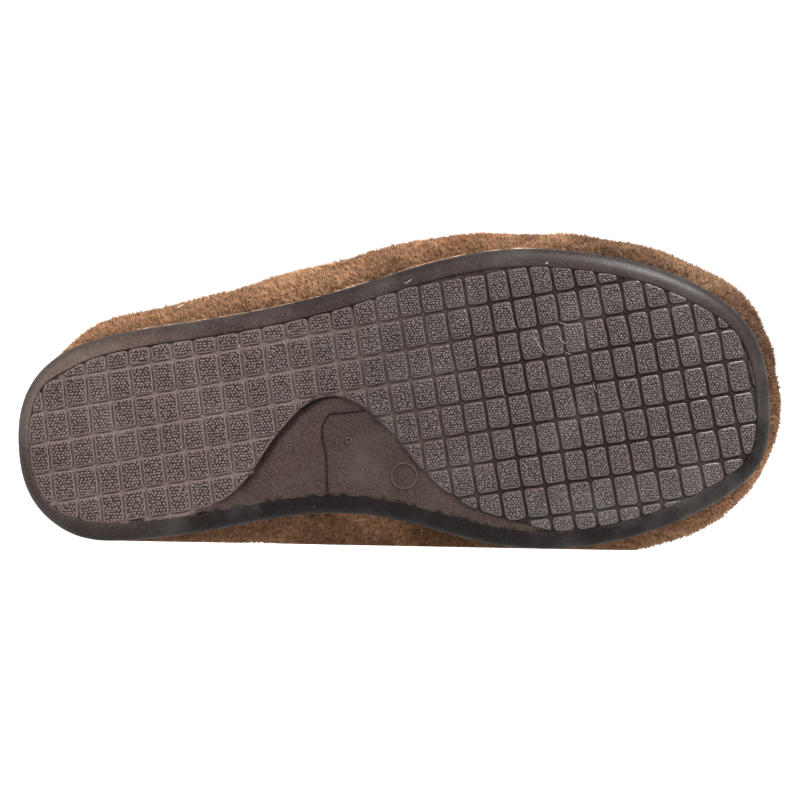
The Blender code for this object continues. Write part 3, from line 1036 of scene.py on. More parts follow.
@dataclass(frozen=True)
class PileFinish(Finish):
    """Short plush pile, marbled where it is brushed, with painted shade at the roots, in creases and on the
    lateral toe.
    """

    dark: Colour
    light: Colour
    # Painted shade at the blades' roots, gone at the rise given below:
    root: float
    # Painted shade in the creases of the upper:
    hollow: Colour = (0.4, 0.36, 0.33)
    calm: Colour = grey(0.52)
    calm_heel: Span = (0.06, 0.13)
    # Painted shade on the lateral toe:
    toe_shade: Colour = (0.55, 0.57, 0.6)
    shaded_toe: Span = (0.17, 0.24)
    shaded_side: Span = (-0.02, 0.02)
    streak: Tints = ((0.66, 0.64, 0.62), grey(1.2))
    tone: Tints = ((0.7, 0.68, 0.66), grey(1.25))
    lit_rise: float = 0.9
    swathe: float = 26.0
    roughness: Span = (0.7, 0.95)
    relief: float = 0.6
    relief_strength: float = 0.8
    sheen: float = 0.2
    sheen_roughness: float = 0.5
    sheen_tint: Colour = (1.0, 0.82, 0.66)
    specular: float = 0.1
    blades: bool = True

    def make(self, form: ShoeForm) -> bpy.types.Material:
        """Make the material.

        Args:
            form: The form of its pieces.

        Returns:
            The material.
        """
        made, sheet, shader = self.start()
        place = sheet.place_in_shoe(form)
        marble = sheet.place(SharedEffects.MARBLE, Vector=place, Scale=self.swathe)
        streak = marble.outputs["Streak"]
        along, across, _ = sheet.node("SeparateXYZ", Vector=place).outputs
        swathe = sheet.mix(sheet.ease(along, *self.calm_heel), self.calm, marble.outputs["Swathe"])
        colour = sheet.mix(swathe, self.dark, self.light)
        # Painted shade on the lateral side of the toe.
        lateral_toe = sheet.math(
            "MULTIPLY", sheet.ease(along, *self.shaded_toe), sheet.ease(across, *self.shaded_side, 1.0, 0.0))
        colour = sheet.tint(colour, lateral_toe, WHITE, self.toe_shade)
        colour = sheet.tint(colour, streak, *self.streak)
        if self.blades:
            colour = sheet.tint(colour, sheet.value("tone"), *self.tone)
            # Painted shade in creases.
            colour = sheet.tint(colour, sheet.value("hollow"), WHITE, self.hollow)
            # Painted shade at the blades' roots, fading out towards their tips.
            rise = sheet.ease(sheet.value("rise"), 0.0, self.lit_rise)
            colour = sheet.tint(colour, rise, grey(self.root), WHITE)
        else:
            sheet.bump(shader, streak, self.relief, self.relief_strength)
        sheet.fill(
            shader, Base_Color=colour, Roughness=sheet.ease(streak, 0.0, 1.0, *self.roughness),
            Sheen_Weight=self.sheen, Sheen_Roughness=self.sheen_roughness, Sheen_Tint=self.sheen_tint,
            Specular_IOR_Level=self.specular)
        return made


@dataclass(frozen=True)
class FleeceFinish(Finish):
    """Curly fleece of lining and footbed."""

    dark: Colour
    light: Colour
    curl: float = 900.0
    curl_wander: float = 0.004
    patch: Tints = ((0.88, 0.87, 0.86), grey(1.08))
    patch_scale: float = 30.0
    roughness: Span = (0.98, 0.85)
    relief: float = 0.5
    sheen: float = 0.1

    def make(self, form: ShoeForm) -> bpy.types.Material:
        """Make the material.

        Args:
            form: The form of its pieces.

        Returns:
            The material.
        """
        made, sheet, shader = self.start()
        place = sheet.place_in_shoe(form)
        curls = sheet.place(SharedEffects.PEBBLE, Vector=place, Scale=self.curl, Wander=self.curl_wander)
        marble = sheet.place(SharedEffects.MARBLE, Vector=place, Scale=self.patch_scale)
        tone = curls.outputs["Tone"]
        colour = sheet.tint(sheet.mix(tone, self.dark, self.light), marble.outputs["Swathe"], *self.patch)
        sheet.fill(
            shader, Base_Color=colour, Roughness=sheet.ease(tone, 0.0, 1.0, *self.roughness),
            Sheen_Weight=self.sheen)
        sheet.bump(shader, curls.outputs["Height"], self.relief)
        return made


@dataclass(frozen=True)
class ThreadFinish(Finish):
    """Twisted thread and frayed edges of cloth."""

    dark: Colour
    light: Colour
    twist: float = 900.0
    strand: Span = (0.35, 0.65)
    roughness: Span = (0.65, 0.9)
    relief: float = 0.2
    relief_strength: float = 0.6

    def make(self, form: ShoeForm) -> bpy.types.Material:
        """Make the material.

        Args:
            form: The form of its pieces.

        Returns:
            The material.
        """
        made, sheet, shader = self.start()
        strand = sheet.noise(sheet.place_in_shoe(form), self.twist, detail=3.0, roughness=0.6)
        colour = sheet.mix(sheet.ease(strand, *self.strand), self.dark, self.light)
        sheet.fill(
            shader, Base_Color=colour, Roughness=sheet.ease(strand, *NOISE_MIDDLE, *self.roughness))
        sheet.bump(shader, strand, self.relief, self.relief_strength)
        return made


@dataclass
class Outsole:
    """Moulded rubber unit sole: rolled rim, lip, waist panel and pebbled tread blocks."""

    form: ShoeForm
    ring_count: int = 360
    rim_width: float = 6.2
    heel_narrowing: float = 2.2
    heel_end: Span = (4.0, 20.0)
    toe_narrowing: float = 1.2
    toe_end: Span = (258.0, 277.0)
    side_blend: float = 0.25
    roll_steps: int = 10
    wall_steps: int = 4
    edge_round: float = 0.7
    edge_steps: tuple[Span, ...] = ((0.6, 0.5), (0.2, 0.12))
    # Painted shade and painted light on the rim and on the step round the tread:
    rim_shade: float = 0.44
    rim_shaded: Span = (20.0, 90.0)
    medial_shade: float = 0.56
    roll_shade: float = 0.78
    roll_light: float = 0.8
    roll_lit: Span = (40.0, 150.0)
    border_shade: float = 0.75
    border_light: float = 0.8
    border_change: Span = (110.0, 190.0)
    groove_depth: float = 0.9
    floor_drop: float = 0.02
    grid: tuple[GridStation, ...] = (
        GridStation(-5, 3.6, 10.2, 2.3, 11.25),
        GridStation(0, 45.2, 6.4, 2.7, 11.28),
        GridStation(3, 69.9, 4.2, 3.2, 11.3),
        GridStation(9, 122.3, -1.1, 4.9, 11.35),
        GridStation(15, 173.3, -5.9, 5.8, 11.5),
        GridStation(22, 230.8, -10.5, 6.9, 11.76),
        GridStation(28, 280.0, -14.8, 7.8, 11.95),
    )
    grid_rows: tuple[int, int] = (-6, 7)
    smallest_block: float = 2.5
    block_spacing: float = 0.75
    block_root: float = 0.08
    block_sharp: float = math.radians(60.0)
    corner_blur: float = 0.8
    corner_step: float = 0.2
    block_wobble: Wave = Wave(7.0, 0.09)
    border_gap: float = 0.55
    wave_gap: float = 0.2
    wave_wall: float = 0.45
    panel_edge: float = 0.045
    panel_depth: float = 1.15
    panel_trough: float = 1.8
    trough_reach: float = 2.8
    trough_start: float = 4.0
    # Painted shadow in the trough and a painted dark line along the wave:
    trough_shade: float = 0.75
    wave_shade: float = 0.6
    trough_span: Span = (104.0, 128.0)
    panel_ramp: float = 16.0
    panel_grid: float = 1.7
    lip_round: float = 0.5
    lip_bevel: float = 0.3
    weld: float = 0.01
    body_sharp: float = math.radians(50.0)
    wave: tuple[Spot, ...] = (
        Spot(81.0, 19.6),
        Spot(97.4, 0.0),
        Spot(108.0, -9.0),
        Spot(117.0, -11.3),
        Spot(127.0, -7.6),
        Spot(139.0, 4.6),
        Spot(151.0, 21.0),
        Spot(165.0, 32.8),
        Spot(178.0, 38.4),
    )
    wave_ends: Span = (62.0, 194.0)
    wave_steps: int = 90
    ring_mark: Spot = Spot(141.9, 20.2)
    ring_mark_radius: float = 4.7
    pin_mark: Spot = Spot(122.2, 5.7)
    pin_mark_radius: float = 1.0
    mark_steps: int = 48
    insert_corners: tuple[Spot, ...] = (
        Spot(113.0, 27.0),
        Spot(113.6, 12.0),
        Spot(113.7, -1.5),
        Spot(115.6, -4.2),
        Spot(121.0, -4.7),
        Spot(129.5, -5.0),
    )
    seam_steps: int = 60
    bead: float = 0.32
    bead_lift: float = 0.3
    # Painted highlight on the ring mark and painted shade on the insert line:
    ring_highlight: float = 1.0
    seam_shade: float = 0.1
    plain: float = 0.5
    # Painted shade at the foot of each block's wall, painted highlight along its top edge, painted shade on
    # the top between pebbles.
    block_profile: tuple[WallStep, ...] = (
        WallStep(-0.22, 0.95, 0.2),
        WallStep(-0.16, 0.6, 0.25),
        WallStep(-0.04, 0.2, 0.45),
        WallStep(0.08, 0.06, 0.6),
        WallStep(0.3, 0.0, 0.6),
        WallStep(0.6, 0.0, 0.0),
    )
    # Each station's two lightness values are painted shade between pebbles and painted highlight on their
    # tops.
    pebbles: tuple[PebbleStation, ...] = (
        PebbleStation(0.0, 0.5, 0.3, 1.4, 1.25, 0.05, 0.68, 0.85),
        PebbleStation(80.0, 0.5, 0.31, 1.35, 1.22, 0.04, 0.72, 0.95),
        PebbleStation(140.0, 0.48, 0.34, 1.15, 1.1, 0.0, 0.9, 1.25),
        PebbleStation(185.0, 0.48, 0.4, 1.0, 1.05, 0.0, 1.08, 1.35),
        PebbleStation(280.0, 0.48, 0.4, 1.0, 1.05, 0.0, 1.08, 1.4),
    )
    pebble_profile: tuple[DomeStep, ...] = (
        DomeStep(1.0, -0.2, 0.0), DomeStep(0.72, 0.7, 0.85), DomeStep(0.0, 1.0, 1.0))
    pebble_sink: float = 0.3
    pebble_jitter: float = 0.13
    pebble_margin: float = 0.55
    pebble_sides: int = 5
    pebble_spread: Span = (0.86, 1.14)
    pebble_way: float = math.radians(-25.0)
    pebble_swing: Wave = Wave(4.0, 0.9)
    pebble_split: float = 140.0
    pebble_seed: int = 5
    scuffs: tuple[Scuff, ...] = (
        Scuff(Spot(184.2, -41.3), Spot(186.5, -36.4), 0.16),
        Scuff(Spot(185.8, -36.9), Spot(187.3, -31.1), 0.14),
        Scuff(Spot(192.9, -30.7), Spot(197.2, -21.0), 0.22),
        Scuff(Spot(202.5, -33.0), Spot(207.6, -30.8), 0.16),
        Scuff(Spot(203.0, -25.9), Spot(205.2, -24.3), 0.2),
        Scuff(Spot(204.5, -21.4), Spot(206.8, -20.3), 0.15),
        Scuff(Spot(180.2, -11.4), Spot(181.2, -6.1), 0.15),
        Scuff(Spot(214.0, -9.4), Spot(215.2, -5.5), 0.18),
        Scuff(Spot(146.9, -50.7), Spot(150.0, -52.3), 0.3),
    )
    scuff_steps: int = 12
    scuff_bow: float = 0.06
    scuff_lift: float = 0.4
    scuff_taper: float = 0.75
    body_finish: RubberFinish = RubberFinish(
        name="rubber_skin", heel=(0.092, 0.066, 0.056), toe=(0.06, 0.0385, 0.0325), shade=0.5,
        grain=1900.0, relief=0.15, roughness=(0.4, 0.54), stroke=1.35, specular=0.1, coat=0.4,
        rim_coat=True, medial_coat=0.1, coat_roughness=0.4, change=(0.01, 0.085))
    tread_finish: RubberFinish = RubberFinish(
        name="rubber_tread", heel=(0.112, 0.0805, 0.0715), toe=(0.0555, 0.0375, 0.0335), shade=0.85,
        grain=2600.0, relief=0.05, roughness=(0.3, 0.4), specular=0.2, coat=0.75, heel_dullness=1.7)
    scuff_finish: RubberFinish = RubberFinish(
        name="scraped_rubber", heel=(0.2, 0.178, 0.165), toe=(0.2, 0.178, 0.165), shade=0.7,
        grain=2600.0, relief=0.05, roughness=(0.5, 0.65))

    def build(self) -> None:
        """Build and dress the pieces of the sole."""
        self.outline = self.form.sole.ring(self.ring_count)
        at_heel = fade(self.outline[:, 0], *self.heel_end)
        at_toe = smooth_step(self.outline[:, 0], *self.toe_end)
        self.rim = self.rim_width - self.heel_narrowing * at_heel - self.toe_narrowing * at_toe
        self.edge = inset(self.outline, self.rim)
        self.medial = smooth_step(np.sin(turns(self.ring_count)), -self.side_blend, self.side_blend)
        medial = self.edge[:self.ring_count // 2]
        self.ends = [int(np.argmin(abs(medial[:, 0] - x))) for x in self.wave_ends]
        body = self.body_finish.make(self.form)
        tread = self.tread_finish.make(self.form)
        self.loops = self._block_loops()
        fit_out(self._unit(), Slot.RUBBER, body, Node.OUTSOLE)
        fit_out(self._blocks(), Slot.RUBBER, tread)
        for piece in self._pebbles():
            fit_out(piece, Slot.RUBBER, tread)
        fit_out(self._mould_marks(), Slot.RUBBER, body)
        fit_out(self._scuff_lines(), Slot.RUBBER, self.scuff_finish.make(self.form))

    def wave_curve(self, edge: Array) -> Array:
        """Work out the wave of the waist panel.

        Args:
            edge: Ring on which its ends lie.

        Returns:
            Plan points from its heel end to its toe end.
        """
        start, end = (edge[i] for i in self.ends)
        knots = np.vstack([start, [(spot.x, spot.y) for spot in self.wave], end])
        x = np.linspace(start[0], end[0], self.wave_steps + 1)
        return np.column_stack([x, spline(knots[:, 0], knots[:, 1], x)])

    def recess(self, x: Array) -> Array:
        """Return how far the panel, and the rim beside it, lies behind the tread."""
        (start, end), ramp = self.wave_ends, self.panel_ramp
        return self.panel_depth * smooth_step(x, start, start + ramp) * fade(x, end - ramp, end)

    def panel_level(self, plan: Array, wave: Array) -> Array:
        """Return the height of the waist panel, with the trough along its heel slope."""
        recess = self.recess(plan[:, 0]) + self.panel_trough * self.trough(plan, wave)
        return self.form.bottom(plan[:, 0]) + recess

    def trough(self, plan: Array, wave: Array) -> Array:
        """Say how much of the trough along the wave's heel slope lies at plan points.

        Args:
            plan: Plan points.
            wave: The wave's curve.

        Returns:
            A share for each point.
        """
        start = self.wave_ends[0]
        heel_side = fade(plan[:, 0], *self.trough_span)
        begun = smooth_step(plan[:, 0], start + self.trough_start, start + 2 * self.panel_ramp)
        return np.exp(-((gap_to(plan, wave) / self.trough_reach) ** 2)) * heel_side * begun

    def _unit(self) -> Piece:
        """Model the body of the sole under its blocks.

        Returns:
            The piece.
        """
        form = self.form
        outline = self.outline
        beside = np.zeros(self.ring_count)
        first, last = self.ends
        beside[first:last + 1] = self.recess(self.edge[first:last + 1, 0])
        start = form.bottom(self.edge[:, 0]) + beside
        on_panel = smooth_step(beside, 0.0, self.groove_depth)
        floor = start + self.groove_depth * (1 - on_panel) + self.floor_drop
        inner = inset(outline, self.rim + self.edge_round)
        rings = [at_height(inner, floor)]
        for reach, drop in self.edge_steps:
            ring = inset(outline, self.rim + reach * self.edge_round)
            rings.append(at_height(ring, start + drop * (floor - start)))
        border = len(rings)
        for angle in quarter_turn(self.roll_steps):
            ring = inset(outline, self.rim * (1 - math.sin(angle)))
            rings.append(at_height(ring, start + form.rim_height * (1 - math.cos(angle))))
        rim_top = rings[-1][:, 2]
        top = form.lip(outline[:, 0])
        shoulder = top - self.lip_round
        for share in np.linspace(0.0, 1.0, self.wall_steps + 1)[1:-1]:
            rings.append(at_height(outline, rim_top * (1 - share) + shoulder * share))
        wall = inset(outline, form.lip_wall)
        bevel = self.lip_bevel * self.lip_round
        rings += [
            at_height(outline, shoulder),
            at_height(inset(outline, bevel), top - bevel),
            at_height(inset(outline, self.lip_round), top),
            at_height(wall, top),
            at_height(wall, form.seat(wall[:, 0])),
        ]
        rings = np.array(rings)
        # Painted shade on the rim, deeper towards the toe, on the medial side and round the rolled edge, and
        # painted light on the flat of the lateral heel.
        flat = 1 - np.clip((np.arange(len(rings)) - border) / self.roll_steps, 0.0, 1.0)[:, None]
        shade = self.rim_shade * smooth_step(outline[:, 0], *self.rim_shaded)
        shade += self.medial_shade * self.medial
        light = self.roll_light * fade(outline[:, 0], *self.roll_lit) * (1 - self.medial)
        wear = self.plain * (1 - shade) * (1 - self.roll_shade * (1 - flat) + light * flat)
        wear[:border] *= self._border_tone(on_panel)
        sheet = MeshSheet()
        sheet.add_rings(
            rings,
            *strip_cap(self.ring_count, (len(rings) - 1) * self.ring_count),
            groove=0.0,
            wear=wear.ravel(),
            rim=np.repeat(flat, self.ring_count),
        )
        points, faces, groove, wear = self._floor(inner, floor)
        sheet.add(points, faces, groove=groove, wear=wear, rim=0.0)
        return sheet.make("sole_unit", form, weld=self.weld, sharp=self.body_sharp)

    def _border_tone(self, on_panel: Array) -> Array:
        """Paint shade on the step round the tread at lateral heel and medial toe, and paint light on it at
        lateral toe.

        Args:
            on_panel: Share of the panel beside each point of the ring.

        Returns:
            The painted lightness of each point.
        """
        toeward = smooth_step(self.edge[:, 0], *self.border_change)
        dark = self.medial * toeward + (1 - self.medial) * (1 - toeward)
        tone = 1 - self.border_shade * dark + self.border_light * (1 - self.medial) * toeward
        return 1 + (tone - 1) * (1 - on_panel)

    def _floor(self, inner: Array, level: Array) -> tuple[Array, ...]:
        """Model the floor of the grooves and the waist panel inside the rim.

        Args:
            inner: Ring at the foot of the rim.
            level: Height of that ring.

        Returns:
            Points, triangles, a share that marks the grooves, and the painted shade of each point.
        """
        wave = self.wave_curve(inner)
        foot = wave[2:-2] + left_of(wave, closed=False)[2:-2] * self.wave_wall
        low, high = inner.min(axis=0), inner.max(axis=0)
        grid = np.stack(np.meshgrid(
            np.arange(low[0], high[0], self.panel_grid),
            np.arange(low[1], high[1], self.panel_grid),
        ), axis=-1).reshape(-1, 2)
        clear = gap_to(grid, np.vstack([inner, wave])) > 0.5 * self.panel_grid
        plan = np.vstack([inner, wave[1:-1], foot, grid[clear & inside(grid, inner)]])
        count = len(inner)
        wave_end = count + len(wave) - 2
        wave_path = [self.ends[0], *range(count, wave_end), self.ends[1]]
        lines = []
        for path in ([*range(count), 0], wave_path, range(wave_end, wave_end + len(foot))):
            lines += zip(path[:-1], path[1:])
        spots, _, triangles, sources, _, _ = delaunay_2d_cdt(
            [Vector(point) for point in plan], lines, [], 0, 1e-5)
        spots = np.array([tuple(spot) for spot in spots])
        groove_level = self.form.bottom(spots[:, 0]) + self.groove_depth + self.floor_drop
        beyond = spots[:, 1] > np.interp(spots[:, 0], wave[:, 0], wave[:, 1]) + self.panel_edge
        in_panel = beyond & (spots[:, 0] > wave[0, 0]) & (spots[:, 0] < wave[-1, 0])
        height = np.where(in_panel, self.panel_level(spots, wave), groove_level)
        for place, each in enumerate(sources):
            source = min(each, default=-1)
            if 0 <= source < count:
                height[place] = level[source]
            elif count <= source < wave_end:
                height[place] = groove_level[place]
        triangles = np.array(triangles)
        kept = triangles[inside(spots[triangles].mean(axis=1), inner)]
        # Painted shadow in the trough along the wave's heel slope, and a painted dark line along the whole
        # wave.
        line = self.wave_shade * np.exp(-((gap_to(spots, wave) / self.wave_wall) ** 2))
        shade = np.maximum(self.trough_shade * self.trough(spots, wave), line)
        wear = self.plain * np.where(in_panel, 1 - shade, 1 - line)
        return at_height(spots, height), kept, np.where(in_panel, 0.0, 1.0), wear

    def _block_loops(self) -> list[Array]:
        """Cut the cells of the block grid to the field inside the rim and the wave.

        Returns:
            The outlines of the tread blocks.
        """
        border = inset(self.edge, self.border_gap)
        wave = self.wave_curve(border)
        wave = wave - left_of(wave, closed=False) * self.wave_gap
        field_loop = np.vstack([border[:self.ends[0]], wave, border[self.ends[1] + 1:]])
        loops = []
        for column in range(self.grid[0].column, self.grid[-1].column):
            for row in range(*self.grid_rows):
                corners = ((column, row), (column + 1, row), (column + 1, row + 1), (column, row + 1))
                cell = np.array([self._grid_corner(*corner) for corner in corners])
                loop = clip_to_cell(field_loop, cell, self._at("groove", cell[:, 0].mean()) / 2)
                if loop is not None and area(loop) > self.smallest_block:
                    loops.append(self._round_corners(loop[::-1]))
        return loops

    def _at(self, name: str, x: Numbers) -> Array:
        """Return one measure of the tread at stations of the shoe."""
        return read_table(self.pebbles, "x", name, x)

    def _grid_corner(self, column: int, row: int) -> tuple[float, float]:
        """Find a corner of the block grid.

        Args:
            column: Number of the line across the grid.
            row: Number of the line along it.

        Returns:
            The plan point where the lines cross.
        """
        x, y, lean, pitch = (
            float(read_table(self.grid, "column", name, column)) for name in ("x", "y", "lean", "row_pitch"))
        return x + row * pitch * math.tan(math.radians(lean)), y + row * pitch

    def _round_corners(self, loop: Array) -> Array:
        """Round the corners of a block by blurring its outline along its length.

        Args:
            loop: Outline of the block.

        Returns:
            The rounded outline, slightly uneven.
        """
        step = self.corner_step
        fine = resample(loop, step)
        reach = int(3 * self.corner_blur / step)
        offsets = np.arange(-reach, reach + 1)
        weights = np.exp(-((offsets * step / self.corner_blur) ** 2) / 2)
        weights /= weights.sum()
        blurred = sum(weight * np.roll(fine, -offset, axis=0) for weight, offset in zip(weights, offsets))
        flat = at_height(blurred, 0.0)
        wobble = [self.block_wobble.field(flat, self.pebble_seed + i) for i in (1, 2)]
        return resample(blurred + np.column_stack(wobble), self.block_spacing)

    def _blocks(self) -> Piece:
        """Model all tread blocks as closed bodies.

        Returns:
            The piece.
        """
        sheet = MeshSheet()
        depth = self.groove_depth + self.block_root - self.pebble_sink
        top = len(self.block_profile) - 1
        for loop in self.loops:
            count = len(loop)
            rings = []
            for step in self.block_profile:
                ring = loop + left_of(loop) * step.inwards
                height = self.form.bottom(ring[:, 0]) + self.pebble_sink + step.depth * depth
                rings.append(at_height(ring, height))
            middle = loop.mean(axis=0)
            level = float(self.form.bottom(middle[0])) + self.pebble_sink
            # Painted shade on the block's top between its pebbles.
            valley_shade = float(self._at("valley_shade", middle[0]))
            wear = [step.wear for step in self.block_profile[:-1]]
            sheet.add(
                np.vstack([*rings, [[*middle, level], [*middle, level + depth]]]),
                band(len(rings), count),
                hub_cap(count, top * count, len(rings) * count),
                hub_cap(count, 0, len(rings) * count + 1)[:, ::-1],
                groove=0.0,
                wear=np.array([*np.repeat([*wear, valley_shade], count), valley_shade, wear[0]]),
            )
        return sheet.make("tread_blocks", self.form, sharp=self.block_sharp)

    def _pebbles(self) -> list[Piece]:
        """Model the pebbles on the blocks.

        Returns:
            One piece for the heel and one for the ball.
        """
        rng = np.random.default_rng(self.pebble_seed)
        spots = np.vstack([self._pebble_spots(loop, rng) for loop in self.loops])
        at_heel = spots[:, 0] < self.pebble_split
        return [
            self._domes("heel_pebbles", spots[at_heel], rng),
            self._domes("ball_pebbles", spots[~at_heel], rng),
        ]

    def _pebble_spots(self, loop: Array, rng: np.random.Generator) -> Array:
        """Scatter pebbles on one block.

        Args:
            loop: Outline of the block.
            rng: Source of their scatter.

        Returns:
            Plan points inside the outline.
        """
        low, high = loop.min(axis=0), loop.max(axis=0)
        pitch = float(self._at("pitch", loop[:, 0].mean()))
        rows = np.arange(low[1], high[1], pitch * math.sqrt(0.75))
        x, y = np.meshgrid(np.arange(low[0], high[0], pitch), rows)
        x = x + pitch / 2 * (np.arange(len(rows)) % 2)[:, None]
        grid = np.stack([x, y], axis=-1).reshape(-1, 2)
        grid += rng.normal(0.0, self.pebble_jitter, grid.shape)
        return grid[(gap_to(grid, loop) > self.pebble_margin) & inside(grid, loop)]

    def _domes(self, name: str, spots: Array, rng: np.random.Generator) -> Piece:
        """Model low closed domes at plan points on the blocks.

        Args:
            name: Name of the piece.
            spots: Plan points.
            rng: Source of their differences.

        Returns:
            The piece.
        """
        radius, tall, stretch, crest_highlight = (
            self._at(measure, spots[:, 0]) * rng.uniform(*self.pebble_spread, len(spots))
            for measure in ("radius", "height", "stretch", "crest_highlight"))
        way = self.pebble_way + self.pebble_swing.field(at_height(spots, 0.0), self.pebble_seed)
        along = np.column_stack([np.cos(way), np.sin(way)]) * (radius * stretch)[:, None]
        across = np.column_stack([-np.sin(way), np.cos(way)]) * radius[:, None]
        sides = self.pebble_sides
        turn = (turns(sides) + rng.uniform(0.0, math.pi, len(spots))[:, None])[..., None]
        spread = along[:, None] * np.cos(turn) + across[:, None] * np.sin(turn)
        level = self.form.bottom(spots[:, 0]) + self.pebble_sink
        counts = [sides if step.reach else 1 for step in self.pebble_profile]
        rings = []
        for step, count in zip(self.pebble_profile, counts):
            plan = spots[:, None] + spread[:, :count] * step.reach
            height = np.broadcast_to((level - step.rise * tall)[:, None, None], (*plan.shape[:2], 1))
            rings.append(np.concatenate([plan, height], axis=2))
        points = np.concatenate(rings, axis=1)
        start = np.arange(len(spots))[:, None, None] * points.shape[1]
        # Painted shade at each pebble's foot, rising to painted highlight at its top.
        valley_shade = self._at("valley_shade", spots[:, 0])[:, None]
        light = np.repeat([step.light for step in self.pebble_profile], counts)
        sheet = MeshSheet()
        sheet.add(
            points,
            (band(2, sides) + start).reshape(-1, 4),
            (hub_cap(sides, sides, 2 * sides) + start).reshape(-1, 3),
            np.arange(sides) + start[:, 0],
            groove=0.0,
            wear=(valley_shade + (crest_highlight[:, None] - valley_shade) * light).ravel(),
        )
        return sheet.make(name, self.form)

    def _scuff_lines(self) -> Piece:
        """Model the thin scraped lines that lie over blocks and grooves of the ball.

        Returns:
            The piece.
        """
        sheet = MeshSheet()
        share = np.linspace(0.0, 1.0, self.scuff_steps)
        swell = np.sin(math.pi * share)
        for scuff in self.scuffs:
            start, end = (np.array([spot.x, spot.y]) for spot in (scuff.start, scuff.end))
            bow = np.array([start[1] - end[1], end[0] - start[0]]) * self.scuff_bow
            path = start + (end - start) * share[:, None] + bow * swell[:, None]
            level = self.form.bottom(path[:, 0]) + self.pebble_sink - self.scuff_lift * scuff.radius
            radius = scuff.radius * (1 - self.scuff_taper + self.scuff_taper * swell)
            sheet.add_tube(at_height(path, level), radius, sides=6, groove=0.0, wear=self.plain)
        return sheet.make("scuff_lines", self.form)

    def _mould_marks(self) -> Piece:
        """Model the fine raised lines that the mould leaves on the waist panel.

        Returns:
            The piece.
        """
        sheet = MeshSheet()
        wave = self.wave_curve(self.edge)
        turn = turns(self.mark_steps)
        for spot, radius in ((self.ring_mark, self.ring_mark_radius), (self.pin_mark, self.pin_mark_radius)):
            path = np.column_stack([spot.x + radius * np.cos(turn), spot.y + radius * np.sin(turn)])
            self._bead(sheet, path, wave, self.ring_highlight, closed=True)
        corners = np.array([(spot.x, spot.y) for spot in self.insert_corners])
        length = run_length(corners)
        at = np.linspace(0.0, length[-1], self.seam_steps)
        path = np.column_stack([spline(length, column, at) for column in corners.T])
        self._bead(sheet, path, wave, self.seam_shade)
        return sheet.make("mould_marks", self.form)

    def _bead(self, sheet: MeshSheet, path: Array, wave: Array, tone: float, closed: bool = False) -> None:
        """Add a low round bead along a plan path on the panel inside the wave."""
        # The tone is painted lightness: painted highlight on the ring, painted shade on the insert line.
        level = self.panel_level(path, wave) - self.bead_lift * self.bead
        sheet.add_tube(at_height(path, level), self.bead, sides=8, closed=closed, groove=0.0, wear=tone)


def inside(points: Array, loop: Array) -> Array:
    """Say which plan points lie inside a closed loop.

    Args:
        points: Plan points.
        loop: Corners of the loop.

    Returns:
        True for each point inside.
    """
    after = np.roll(loop, -1, axis=0)
    x, y = points[:, :1], points[:, 1:]
    crosses = (loop[:, 1] > y) != (after[:, 1] > y)
    rise = np.where(crosses, after[:, 1] - loop[:, 1], 1.0)
    at = loop[:, 0] + (y - loop[:, 1]) / rise * (after[:, 0] - loop[:, 0])
    return np.count_nonzero(crosses & (x < at), axis=1) % 2 == 1


def clip_to_cell(loop: Array, cell: Array, margin: float) -> Array | None:
    """Cut a closed loop to a cell of the block grid.

    Args:
        loop: Points of the loop.
        cell: Corners of the cell, counter-clockwise.
        margin: How far inside the cell's sides the cut lies.

    Returns:
        The part of the loop in the cell, or None.
    """
    for start, end in zip(cell, np.roll(cell, -1, axis=0)):
        way = unit(end - start)
        depth = (loop - start) @ np.array([-way[1], way[0]]) - margin
        kept = []
        for i in range(len(loop)):
            j = (i + 1) % len(loop)
            if depth[i] >= 0:
                kept.append(loop[i])
            if depth[i] * depth[j] < 0:
                kept.append(loop[i] + (loop[j] - loop[i]) * depth[i] / (depth[i] - depth[j]))
        if len(kept) < 3:
            return None
        loop = np.array(kept)
    return loop


def area(loop: Array) -> float:
    """Return the area of a closed plan loop."""
    after = np.roll(loop, -1, axis=0)
    return abs(float(np.sum(loop[:, 0] * after[:, 1] - loop[:, 1] * after[:, 0]))) / 2


